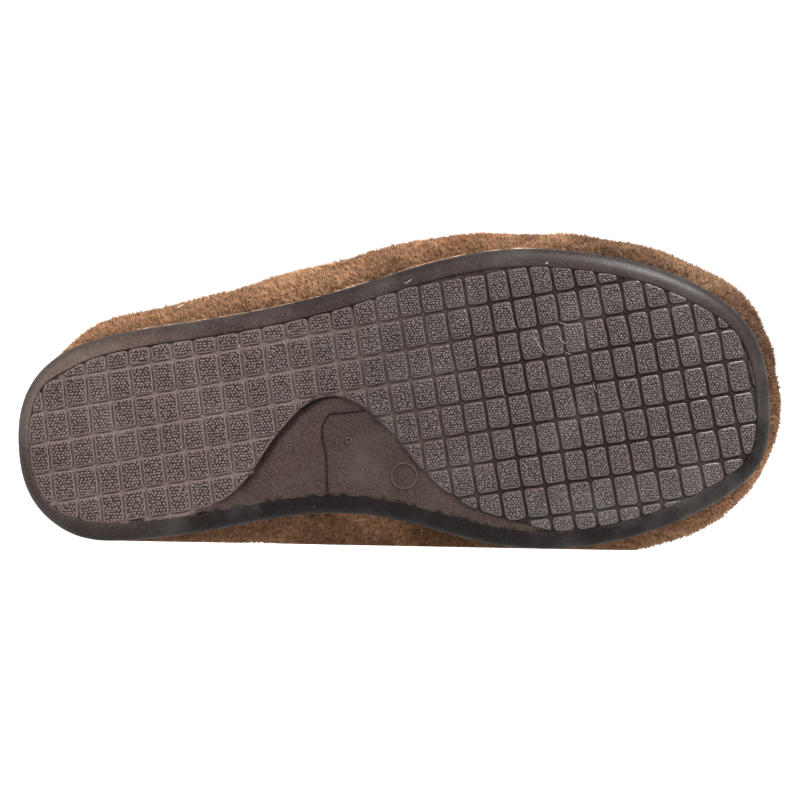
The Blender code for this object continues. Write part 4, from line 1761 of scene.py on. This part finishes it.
@dataclass
class Upper:
    """Plush upper: creased skin with a turned hem, lining, pile, stitches and the trimmed lower edge."""

    form: ShoeForm
    ring_count: int = 288
    wall: float = 3.0
    skin_share: float = 0.62
    bulge_rise: float = 11.0
    spine: Span = (55.0, 192.0)
    dome_plan_power: float = 2.0
    dome_height_power: float = 1.7
    crown_heights: tuple[Station, ...] = (
        Station(0.0, 84.0),
        Station(55.0, 83.0),
        Station(85.0, 83.0),
        Station(120.0, 86.0),
        Station(150.0, 86.0),
        Station(172.0, 81.5),
        Station(192.0, 76.0),
        Station(220.0, 68.0),
        Station(250.0, 61.0),
        Station(288.0, 55.0),
    )
    opening_centre: float = 85.0
    opening_half_length: float = 66.0
    opening_half_width: float = 31.0
    fan: tuple[Fan, ...] = (
        Fan(0.0, 0.0), Fan(0.17, 0.22), Fan(0.34, 0.48), Fan(0.55, 0.72), Fan(0.75, 0.87), Fan(1.0, 1.0))
    tuck_steps: int = 9
    still_rows: int = 3
    eased_row: float = 0.4
    dome_steps: int = 30
    hem_rows: int = 3
    hem_rise: float = 1.2
    hem_roll: float = 1.5
    hem_roll_steps: int = 7
    hem_start: float = 0.90
    hem_margin: float = 0.01
    hem_step: float = 0.02
    hem_middle: float = 0.96
    lumps: Wave = Wave(34.0, 0.45)
    creases: tuple[Crease, ...] = (
        Crease((118.0, -60.0, 20.0), (128.0, -62.0, 26.0), 3.2, 0.9),
        Crease((190.0, -64.0, 16.0), (206.0, -66.0, 30.0), 3.6, 0.6),
        Crease((214.0, -63.0, 18.0), (232.0, -58.0, 30.0), 4.2, 1.0),
        Crease((272.0, -38.0, 20.0), (281.0, -24.0, 30.0), 3.4, 1.4),
        Crease((283.0, -16.0, 22.0), (286.0, -4.0, 34.0), 3.2, 1.4),
        Crease((128.0, 46.0, 22.0), (150.0, 50.0, 30.0), 5.0, 1.3),
        Crease((178.0, -42.0, 72.0), (196.0, -8.0, 80.0), 5.5, 1.8),
        Crease((196.0, -8.0, 80.0), (186.0, 34.0, 70.0), 5.5, 1.6),
        Crease((206.0, -34.0, 66.0), (214.0, 10.0, 72.0), 5.0, 1.3),
        Crease((162.0, -48.0, 76.0), (176.0, -14.0, 86.0), 6.0, 1.2),
        Crease((60.0, -48.0, 60.0), (84.0, -46.0, 46.0), 6.0, 1.5),
        Crease((40.0, 40.0, 58.0), (66.0, 42.0, 44.0), 6.0, 1.2),
        Crease((18.0, -20.0, 60.0), (14.0, 12.0, 66.0), 6.5, 1.2),
    )
    nap: Nap = Nap()
    band_density: float = 3.3
    top_density: float = 1.9
    band_height: float = 30.0
    floor_gap: float = 0.06
    seed: int = 11
    lining_gap: float = 0.1
    lining_foot: float = 1.2
    lining_tuck: float = 0.6
    lint: tuple[Thread, ...] = (
        Thread((181.7, -64.6, 24.0), (0.85, -0.35, 0.35), 3.2),
        Thread((62.0, -49.4, 26.0), (0.8, -0.4, 0.4), 2.8),
        Thread((238.0, -59.0, 22.0), (0.6, 0.3, 0.7), 2.4),
    )
    lint_steps: int = 9
    lint_rise: float = 1.8
    lint_sag: float = 0.8
    lint_radius: float = 0.13
    stitch_rise: float = 0.3
    stitch_pitch: float = 4.2
    stitch_length: float = 2.9
    stitch_radius: float = 0.34
    stitch_taper: float = 0.5
    stitch_lift: float = 0.25
    stitch_bow: float = 0.35
    stitch_steps: int = 7
    edge_inset: float = 0.1
    edge_rise: float = 0.15
    edge_sway: Wave = Wave(7.0, 0.12)
    edge_floor_gap: float = 0.45
    edge_radius: float = 0.36
    edge_swell: Wave = Wave(11.0, 0.08)
    skin_finish: PileFinish = PileFinish(
        name="plush_backing", dark=(0.11, 0.054, 0.028), light=(0.24, 0.127, 0.068), root=0.5, blades=False)
    pile_finish: PileFinish = PileFinish(
        name="plush_pile", dark=(0.205, 0.1, 0.052), light=(0.385, 0.21, 0.115), root=0.34, sheen=0.1)
    lining_finish: FleeceFinish = FleeceFinish(
        name="fleece_lining", dark=(0.27, 0.185, 0.125), light=(0.4, 0.29, 0.205))
    thread_finish: ThreadFinish = ThreadFinish(
        name="sewing_thread", dark=(0.1, 0.055, 0.03), light=(0.2, 0.12, 0.07))
    lint_finish: ThreadFinish = ThreadFinish(
        name="loose_lint", dark=(0.5, 0.44, 0.38), light=(0.72, 0.66, 0.6))
    edge_finish: ThreadFinish = ThreadFinish(
        name="trimmed_edge", dark=(0.2, 0.12, 0.075), light=(0.5, 0.36, 0.27))

    def build(self) -> None:
        """Build and dress the pieces of the upper."""
        self.outline = self.form.sole.ring(self.ring_count)
        self.plan = self.form.skin(self.ring_count)
        half = self.ring_count // 2
        self.medial = self.plan[:half + 1]
        self.lateral = np.vstack([self.plan[half:], self.plan[:1]])[::-1]
        self.outer = self._outer_rows()
        self.normals = self._row_normals(self.outer)
        fit_out(self._skin(), Slot.PLUSH, self.skin_finish.make(self.form), Node.UPPER)
        fit_out(self._lining(), Slot.FLEECE, self.lining_finish.make(self.form))
        pile = self.pile_finish.make(self.form)
        for piece in self._pile():
            fit_out(piece, Slot.PLUSH, pile)
        fit_out(self._stitches(), Slot.PLUSH, self.thread_finish.make(self.form))
        fit_out(self._trimmed_edge(), Slot.PLUSH, self.edge_finish.make(self.form))
        fit_out(self._lint(), Slot.PLUSH, self.lint_finish.make(self.form))

    def _centre(self, x: Numbers) -> Array:
        """Return the middle line of the shoe at stations."""
        return (np.interp(x, *self.medial.T) + np.interp(x, *self.lateral.T)) / 2

    def _reach(self, plan: Array) -> Array:
        """Say how far out plan points lie, from 0 on the spine to 1 on the outline.

        Args:
            plan: Plan points.

        Returns:
            The share of the way out for each point.
        """
        x, y = plan.T
        middle = self._centre(np.clip(x, *self.spine))
        edge = np.where(y > middle, np.interp(x, *self.medial.T), np.interp(x, *self.lateral.T))
        share = abs((y - middle) / np.where(abs(edge - middle) < 1e-6, 1.0, edge - middle))
        for end, sign in zip(self.spine, (-1.0, 1.0)):
            hub = np.array([end, self._centre(end)])
            spokes = self.plan - hub
            angles = np.arctan2(spokes[:, 1], spokes[:, 0] * sign)
            order = np.argsort(angles)
            lengths = np.linalg.norm(spokes, axis=1)
            angle = np.arctan2(y - hub[1], (x - end) * sign)
            spread = np.linalg.norm(plan - hub, axis=1) / np.interp(angle, angles[order], lengths[order])
            share = np.where((x - end) * sign > 0, spread, share)
        return share

    def _on_last(self, plan: Array) -> Array:
        """Raise plan points to the last.

        Args:
            plan: Plan points.

        Returns:
            Points in space.
        """
        base = self.form.lip(plan[:, 0]) + self.bulge_rise
        crown = read_table(self.crown_heights, "x", "z", plan[:, 0])
        reach = self._reach(plan) ** self.dome_plan_power
        rise = np.maximum(0.0, 1 - reach) ** (1 / self.dome_height_power)
        return at_height(plan, base + (crown - base) * rise)

    def _opening(self) -> Array:
        """Work out the collar's edge, fanned so that each point faces its place on the outline.

        Returns:
            A plan ring.
        """
        half = self.ring_count // 2
        turn = math.pi * read_table(self.fan, "outline", "opening", np.arange(half + 1) / half)
        x = self.opening_centre - self.opening_half_length * np.cos(turn)
        centre = self._centre(x)
        medial = np.column_stack([x, centre + self.opening_half_width * np.sin(turn)])
        lateral = np.column_stack([x, centre - self.opening_half_width * np.sin(turn)])
        return np.vstack([medial, lateral[-2:0:-1]])

    def _outer_rows(self) -> Array:
        """Work out the outer face with its creases.

        Returns:
            A ring for each row from the seat up to the collar.
        """
        form = self.form
        skin = self.plan
        tuck = inset(self.outline, form.lip_wall + form.clearance)
        sill = form.lip(self.outline[:, 0]) + form.clearance
        rows = [at_height(tuck, form.seat(tuck[:, 0]) + form.clearance), at_height(tuck, sill)]
        for angle in quarter_turn(self.tuck_steps)[1:]:
            height = sill + (form.lip(skin[:, 0]) + self.bulge_rise - sill) * (1 - math.cos(angle))
            rows.append(at_height(tuck + (skin - tuck) * math.sin(angle), height))
        opening = self._opening()
        shares = 1 - np.cos(quarter_turn(self.dome_steps)[1:-1])
        below = shares[shares < self.hem_start - self.hem_margin]
        for share in (*below, self.hem_start, self.hem_start + self.hem_step, self.hem_middle, 1.0):
            rows.append(self._on_last(skin + (opening - skin) * share))
        rows = np.array(rows)
        sink = np.zeros(rows.shape[:2])
        for crease in self.creases:
            sink += crease.depth * crease.share(rows)
        sink += self.lumps.field(rows, self.seed)
        sink[:self.still_rows] = 0.0
        sink[self.still_rows] *= self.eased_row
        return form.press(rows - self._row_normals(rows) * sink[..., None])

    @staticmethod
    def _row_normals(rows: Array) -> Array:
        """Return the outward normals of a grid of rings."""
        around = np.roll(rows, -1, axis=1) - np.roll(rows, 1, axis=1)
        return unit(np.cross(np.gradient(rows, axis=0), around))

    def _skin(self) -> Piece:
        """Model the plush cloth with its turned hem as one closed shell.

        Returns:
            The piece.
        """
        form = self.form
        hem = self.hem_rows
        thickness = self.wall * self.skin_share
        outer = self.outer.copy()
        inner = outer - self.normals * thickness
        foot = inset(self.outline, form.lip_wall + form.clearance + thickness)
        inner[0] = at_height(foot, form.seat(foot[:, 0]) + form.clearance)
        inner[1] = at_height(foot, outer[1, :, 2] + thickness / 2)
        outer[-hem:] += self.normals[-hem:] * self.hem_rise
        upwards = unit(outer[-1] - outer[-2])
        inner_hem = outer[-1] - self.normals[-1] * (self.wall + self.hem_rise)
        middle = (outer[-1] + inner_hem) / 2
        half = (outer[-1] - inner_hem) / 2
        roll = [
            middle + half * math.cos(angle) + upwards * self.hem_roll * math.sin(angle)
            for angle in np.linspace(0.0, math.pi, self.hem_roll_steps + 1)[1:-1]
        ]
        turned = [inner_hem, self.outer[-hem] - self.normals[-hem] * self.wall]
        sheet = MeshSheet()
        sheet.add_loop(np.array([*outer, *roll, *turned, *inner[:-hem - 1][::-1]]))
        return sheet.make("upper_skin", form)

    def _lining(self) -> Piece:
        """Model the fleece lining as a thin closed shell inside the skin, tucked in down to the seat.

        Returns:
            The piece.
        """
        form = self.form
        hem = self.hem_rows
        sides = []
        for depth in (self.wall, self.wall * self.skin_share + self.lining_gap):
            foot = inset(self.outline, form.lip_wall + form.clearance + depth)
            sides.append([
                at_height(foot, form.seat(foot[:, 0]) + self.lining_foot),
                at_height(foot, self.outer[1, :, 2] + self.lining_tuck * depth),
                *(self.outer[2:-hem] - self.normals[2:-hem] * depth),
            ])
        sheet = MeshSheet()
        sheet.add_loop(np.array([*sides[0], *sides[1][::-1]]))
        return sheet.make("upper_lining", form)

    def _pile(self) -> list[Piece]:
        """Model the pile as pointed blades.

        Returns:
            A piece for each side of the band and of the top.
        """
        rows = self.outer[2:].copy()
        normals = self.normals[2:]
        rows[-self.hem_rows:] += normals[-self.hem_rows:] * self.hem_rise
        rng = np.random.default_rng(self.seed)
        after = np.roll(rows, -1, axis=1)
        corners = [grid.reshape(-1, 3) for grid in (rows[:-1], after[:-1], after[1:], rows[1:])]
        size = np.linalg.norm(np.cross(corners[2] - corners[0], corners[3] - corners[1]), axis=1) / 2
        middle = sum(corners) / 4
        lateral = np.tile(np.arange(self.ring_count) >= self.ring_count // 2, len(rows) - 1)
        in_band = middle[:, 2] - self.form.lip(middle[:, 0]) < self.band_height
        parts = (("band", in_band, self.band_density), ("top", ~in_band, self.top_density))
        pieces = []
        for side, on_side in (("medial", ~lateral), ("lateral", lateral)):
            for part, on_part, density in parts:
                weight = np.where(on_side & on_part, size, 0.0)
                count = int(weight.sum() * density)
                chosen = rng.choice(len(weight), size=count, p=weight / weight.sum())
                pieces.append(self._blades(f"pile_{part}_{side}", rows, normals, chosen, rng))
        return pieces

    def _blades(self, name: str, rows: Array, normals: Array, chosen: Array,
                rng: np.random.Generator) -> Piece:
        """Model the blades that stand on chosen faces of the skin.

        Args:
            name: Name of the piece.
            rows: Rings of the skin.
            normals: Normals of those rings.
            chosen: Index of the face under each blade.
            rng: Source of the random places.

        Returns:
            The piece.
        """
        nap = self.nap
        count = len(chosen)
        row, column = np.divmod(chosen, self.ring_count)
        after = (column + 1) % self.ring_count
        u, v = rng.random((2, count))[..., None]

        def read(grid: Array) -> Array:
            """Read a grid at each blade's place on its face."""
            low, high = (grid[i, column] * (1 - u) + grid[i, after] * u for i in (row, row + 1))
            return low * (1 - v) + high * v

        root = read(rows)
        out = unit(read(normals))
        up = unit(read(np.gradient(rows, axis=0)))
        toeward = np.array([1.0, 0.0, 0.0]) - out * out[:, :1]
        swirl, curl, clump = (
            ripple(root, wave.length, self.seed + 1 + i)[:, None]
            for i, wave in enumerate((nap.swirl, nap.curl, nap.clump)))
        sweep = nap.sweep + nap.swirl.size * swirl + nap.curl.size * curl + nap.clump.size * clump
        flow = unit(up + toeward * sweep + rng.normal(0, nap.stray, root.shape))
        lean = nap.lean + rng.normal(0, nap.lean_jitter, count)[:, None] + nap.lean_swirl * swirl
        tall = nap.length * rng.uniform(*nap.lengths, count)[:, None]
        first, second = (out * np.cos(lean * bend) + flow * np.sin(lean * bend) for bend in nap.bends)
        roll = rng.normal(0, nap.roll, count)[:, None]
        across = unit(np.cross(first, out)) * np.cos(roll) + out * np.sin(roll)
        half = across * (nap.width / 2 * rng.uniform(*nap.widths, count)[:, None])
        root = root - out * nap.sink
        knee = root + first * tall * nap.knee
        tip = knee + second * tall * (1 - nap.knee)
        knee_half = half * nap.knee_width
        points = np.stack([root - half, root + half, knee + knee_half, knee - knee_half, tip], axis=1)
        tone = 0.5 + nap.clump_tone * clump[:, 0] + rng.normal(0, nap.tone_jitter, count)
        # Share of the creases at each blade's root, for painted shade in the pile.
        hollow = np.max([crease.share(root) for crease in self.creases], axis=0)
        corners = len(nap.rises)
        start = np.arange(count)[:, None] * corners
        sheet = MeshSheet()
        sheet.add(
            self.form.keep_up(points, self.floor_gap),
            start + (0, 1, 2, 3),
            start + (3, 2, 4),
            tone=np.repeat(np.clip(tone, 0.0, 1.0), corners),
            rise=np.tile(nap.rises, count),
            hollow=np.repeat(hollow, corners),
        )
        return sheet.make(name, self.form, closed=False)

    def _lint(self) -> Piece:
        """Model the loose threads that lie on the pile.

        Returns:
            The piece.
        """
        skin, normals = self.outer.reshape(-1, 3), self.normals.reshape(-1, 3)
        sheet = MeshSheet()
        share = np.linspace(-0.5, 0.5, self.lint_steps)[:, None]
        for thread in self.lint:
            line = np.array(thread.place) + share * thread.length * unit(np.array(thread.way))
            near = np.argmin(np.linalg.norm(line[:, None] - skin[None], axis=2), axis=1)
            out = unit(normals[near].mean(axis=0))
            height = ((skin[near] - line) @ out).mean() + self.lint_rise - self.lint_sag * share**2
            sheet.add_tube(line + out * height, self.lint_radius, sides=5)
        return sheet.make("loose_lint", self.form)

    def _stitches(self) -> Piece:
        """Model the row of stitches under the hem.

        Returns:
            The piece.
        """
        row = -self.hem_rows - 1
        normals = np.vstack([self.normals[row], self.normals[row, :1]])
        line = np.vstack([self.outer[row], self.outer[row, :1]]) + normals * self.stitch_rise
        length = run_length(line)
        sheet = MeshSheet()
        steps = np.linspace(-0.5, 0.5, self.stitch_steps)
        lift = self.stitch_lift + self.stitch_bow * (1 - (2 * steps) ** 2)
        radius = self.stitch_radius * (1 - self.stitch_taper * (2 * steps) ** 4)
        for at in np.arange(0.0, length[-1], self.stitch_pitch):
            places = (at + steps * self.stitch_length) % length[-1]
            out = unit(read_rows(normals, length, places))
            sheet.add_tube(read_rows(line, length, places) + out * lift[:, None], radius, sides=6)
        return sheet.make("collar_stitches", self.form)

    def _trimmed_edge(self) -> Piece:
        """Model the pale trimmed edge of the cloth, on the lip of the sole.

        Returns:
            The piece.
        """
        height = self.form.lip(self.outline[:, 0]) + self.edge_rise
        points = at_height(inset(self.outline, self.edge_inset), height)
        points[:, :2] += self.edge_sway.field(points, self.seed + 5)[:, None]
        points = self.form.keep_up(points, self.edge_floor_gap)
        radius = self.edge_radius + self.edge_swell.field(points, self.seed + 6)
        sheet = MeshSheet()
        sheet.add_tube(points, radius, sides=7, closed=True)
        return sheet.make("trimmed_cloth_edge", self.form)


@dataclass
class Footbed:
    """Cushioned footbed with a fleece cover, crowned and turned down at its edge."""

    form: ShoeForm
    ring_count: int = 240
    wall: float = 3.0
    thickness: float = 6.0
    crown: float = 1.2
    shoulder: float = 9.0
    shoulder_drop: float = 1.0
    steps: int = 12
    edge_inset: float = 0.4
    edge_rise: float = 0.6
    lumps: Wave = Wave(16.0, 0.18)
    seed: int = 3
    fill: float = 0.7
    finish: FleeceFinish = FleeceFinish(
        name="fleece_footbed", dark=(0.29, 0.205, 0.14), light=(0.42, 0.31, 0.225), curl=1000.0)

    def build(self) -> None:
        """Build and dress the footbed."""
        form = self.form
        edge = inset(form.sole.ring(self.ring_count), form.lip_wall + self.wall + 2 * form.clearance)
        base = form.seat(edge[:, 0]) + form.clearance
        low = self.thickness - self.crown - self.shoulder_drop
        rings = [
            at_height(inset(edge, self.edge_inset), base),
            at_height(edge, base + self.edge_rise),
            at_height(edge, base + low),
        ]
        wall_rings = len(rings)
        for angle in quarter_turn(self.steps)[1:]:
            ring = inset(edge, self.shoulder * (1 - math.cos(angle)))
            height = low + (self.thickness - low) * math.sin(angle)
            rings.append(at_height(ring, form.seat(ring[:, 0]) + form.clearance + height))
        rings = np.array(rings)
        rings[wall_rings:, :, 2] -= abs(self.lumps.field(rings, self.seed)[wall_rings:])
        sheet = MeshSheet()
        last = (len(rings) - 1) * self.ring_count
        sheet.add_rings(rings, *strip_cap(self.ring_count, 0), *strip_cap(self.ring_count, last))
        footbed = sheet.make("footbed", form)
        fit_out(footbed, Slot.FLEECE, self.finish.make(form), Node.INSOLE)


@dataclass(frozen=True)
class Softbox:
    """A soft lamp and the spot on the sole that it is aimed at, in mm in the shoe's axes."""

    name: str
    place: Place
    aim: Place
    size: float
    power: float


@dataclass
class Studio:
    """Pale floor and backdrop, soft lamps and the camera in front of the sole."""

    form: ShoeForm
    target: Place = (142.4, -8.0, 0.0)
    distance: float = 1.20
    rise: float = math.radians(1.55)
    half_width: float = 147.8
    tilt: float = math.radians(4.1)
    near_clip: float = 0.002
    stage_size: float = 14.0
    backdrop_gap: float = 1.6
    floor_colour: Colour = grey(0.38)
    # Painted glow: the floor, which is no lamp, glows under and behind the slipper, lighting it from below
    # and washing out its shadow, and far off to the front and sides; just in front of the slipper it stays
    # unlit.
    far_floor_glow: Span = (-0.15, -0.03)
    front_floor_glow: Span = (0.5, 0.9)
    side_floor_glow: Span = (0.25, 0.6)
    glow: float = 1.05
    sky: float = 0.1
    lamps: tuple[Softbox, ...] = (
        Softbox("toe_lamp", (640.0, -560.0, -430.0), (215.0, -10.0, 0.0), 0.2, 10.5),
        Softbox("heel_lamp", (-380.0, -520.0, -440.0), (60.0, 0.0, 0.0), 0.22, 6.6),
        Softbox("top_lamp", (480.0, -560.0, -190.0), (235.0, -45.0, 0.0), 0.3, 4.6),
    )

    def build(self) -> None:
        """Set the stage."""
        half = self.stage_size / 2
        corners = np.array([(-half, -half, 0.0), (half, -half, 0.0), (half, half, 0.0), (-half, half, 0.0)])
        nodes, floor = self._sheet("floor", corners)
        place = nodes.node("TexCoord").outputs["Object"]
        across, back, _ = nodes.node("SeparateXYZ", Vector=place).outputs
        # Painted glow on the floor under and behind the slipper and far off to the front and sides.
        front = nodes.ease(nodes.math("MULTIPLY", back, -1.0), *self.front_floor_glow)
        side = nodes.ease(nodes.math("ABSOLUTE", across), *self.side_floor_glow)
        floor_glow_mask = nodes.math("MAXIMUM", nodes.ease(back, *self.far_floor_glow), nodes.math("MAXIMUM", front, side))
        nodes.fill(floor, Emission_Color=nodes.mix(floor_glow_mask, BLACK, WHITE))
        self._sheet("backdrop", corners[:, (0, 2, 1)] + (0.0, self.backdrop_gap, 0.0))
        self._world()
        for lamp in self.lamps:
            self._lamp(lamp)
        self._camera()
        bpy.context.scene.view_settings.view_transform = "Standard"

    def _sheet(self, name: str, corners: Array) -> tuple[NodeSheet, bpy.types.Node]:
        """Put up a plain glowing sheet of the stage.

        Args:
            name: Name of the sheet.
            corners: Its four corners in metres.

        Returns:
            A sheet for the nodes of its paint, and its shader.
        """
        mesh = bpy.data.meshes.new(name)
        mesh.from_pydata(corners.tolist(), [], [(0, 1, 2, 3)])
        paint, nodes, shader = Finish(name).start()
        nodes.fill(
            shader, Base_Color=self.floor_colour, Roughness=1.0, Specular_IOR_Level=0.0,
            Emission_Color=WHITE, Emission_Strength=self.glow)
        mesh.materials.append(paint)
        sheet = put(name, mesh)
        return nodes, shader

    def _world(self) -> None:
        """Fill the room with pale light."""
        world = bpy.data.worlds.new("studio")
        world.use_nodes = True
        nodes = NodeSheet(world.node_tree)
        nodes.fill(world.node_tree.nodes["Background"], Color=WHITE, Strength=self.sky)
        bpy.context.scene.world = world

    def _lamp(self, lamp: Softbox) -> None:
        """Hang one softbox.

        Args:
            lamp: The softbox.
        """
        data = bpy.data.lights.new(lamp.name, "AREA")
        data.size = lamp.size
        data.energy = lamp.power
        made = put(lamp.name, data)
        made.location = self.form.world(lamp.place)
        aim = self.form.world(lamp.aim) - made.location
        made.rotation_euler = aim.to_track_quat("-Z", "Y").to_euler()

    def _camera(self) -> None:
        """Place the camera in front of the sole, just above the floor, rolled so that the toe rises."""
        turn = self.form.lay.to_3x3()
        right = turn @ Vector((math.cos(self.tilt), math.sin(self.tilt), 0.0))
        square = turn @ Vector((0.0, 0.0, -1.0))
        back = square * math.cos(self.rise) + square.cross(right) * math.sin(self.rise)
        up = back.cross(right)
        data = bpy.data.cameras.new("camera")
        data.sensor_fit = "HORIZONTAL"
        data.angle = 2 * math.atan(self.half_width * MM / self.distance)
        data.clip_start = self.near_clip
        camera = put("camera", data)
        place = self.form.world(self.target) + back * self.distance
        camera.matrix_world = Matrix.Translation(place) @ Matrix((right, up, back)).transposed().to_4x4()
        bpy.context.scene.camera = camera


def main() -> None:
    """Build the slipper and its stage."""
    logging.basicConfig(level=logging.INFO, format="%(name)s: %(message)s")
    SharedEffects().build()
    form = ShoeForm()
    for part in (Outsole(form), Upper(form), Footbed(form), Studio(form)):
        part.build()
        LOG.info("%s done", type(part).__name__)


if __name__ == "__main__":
    main()
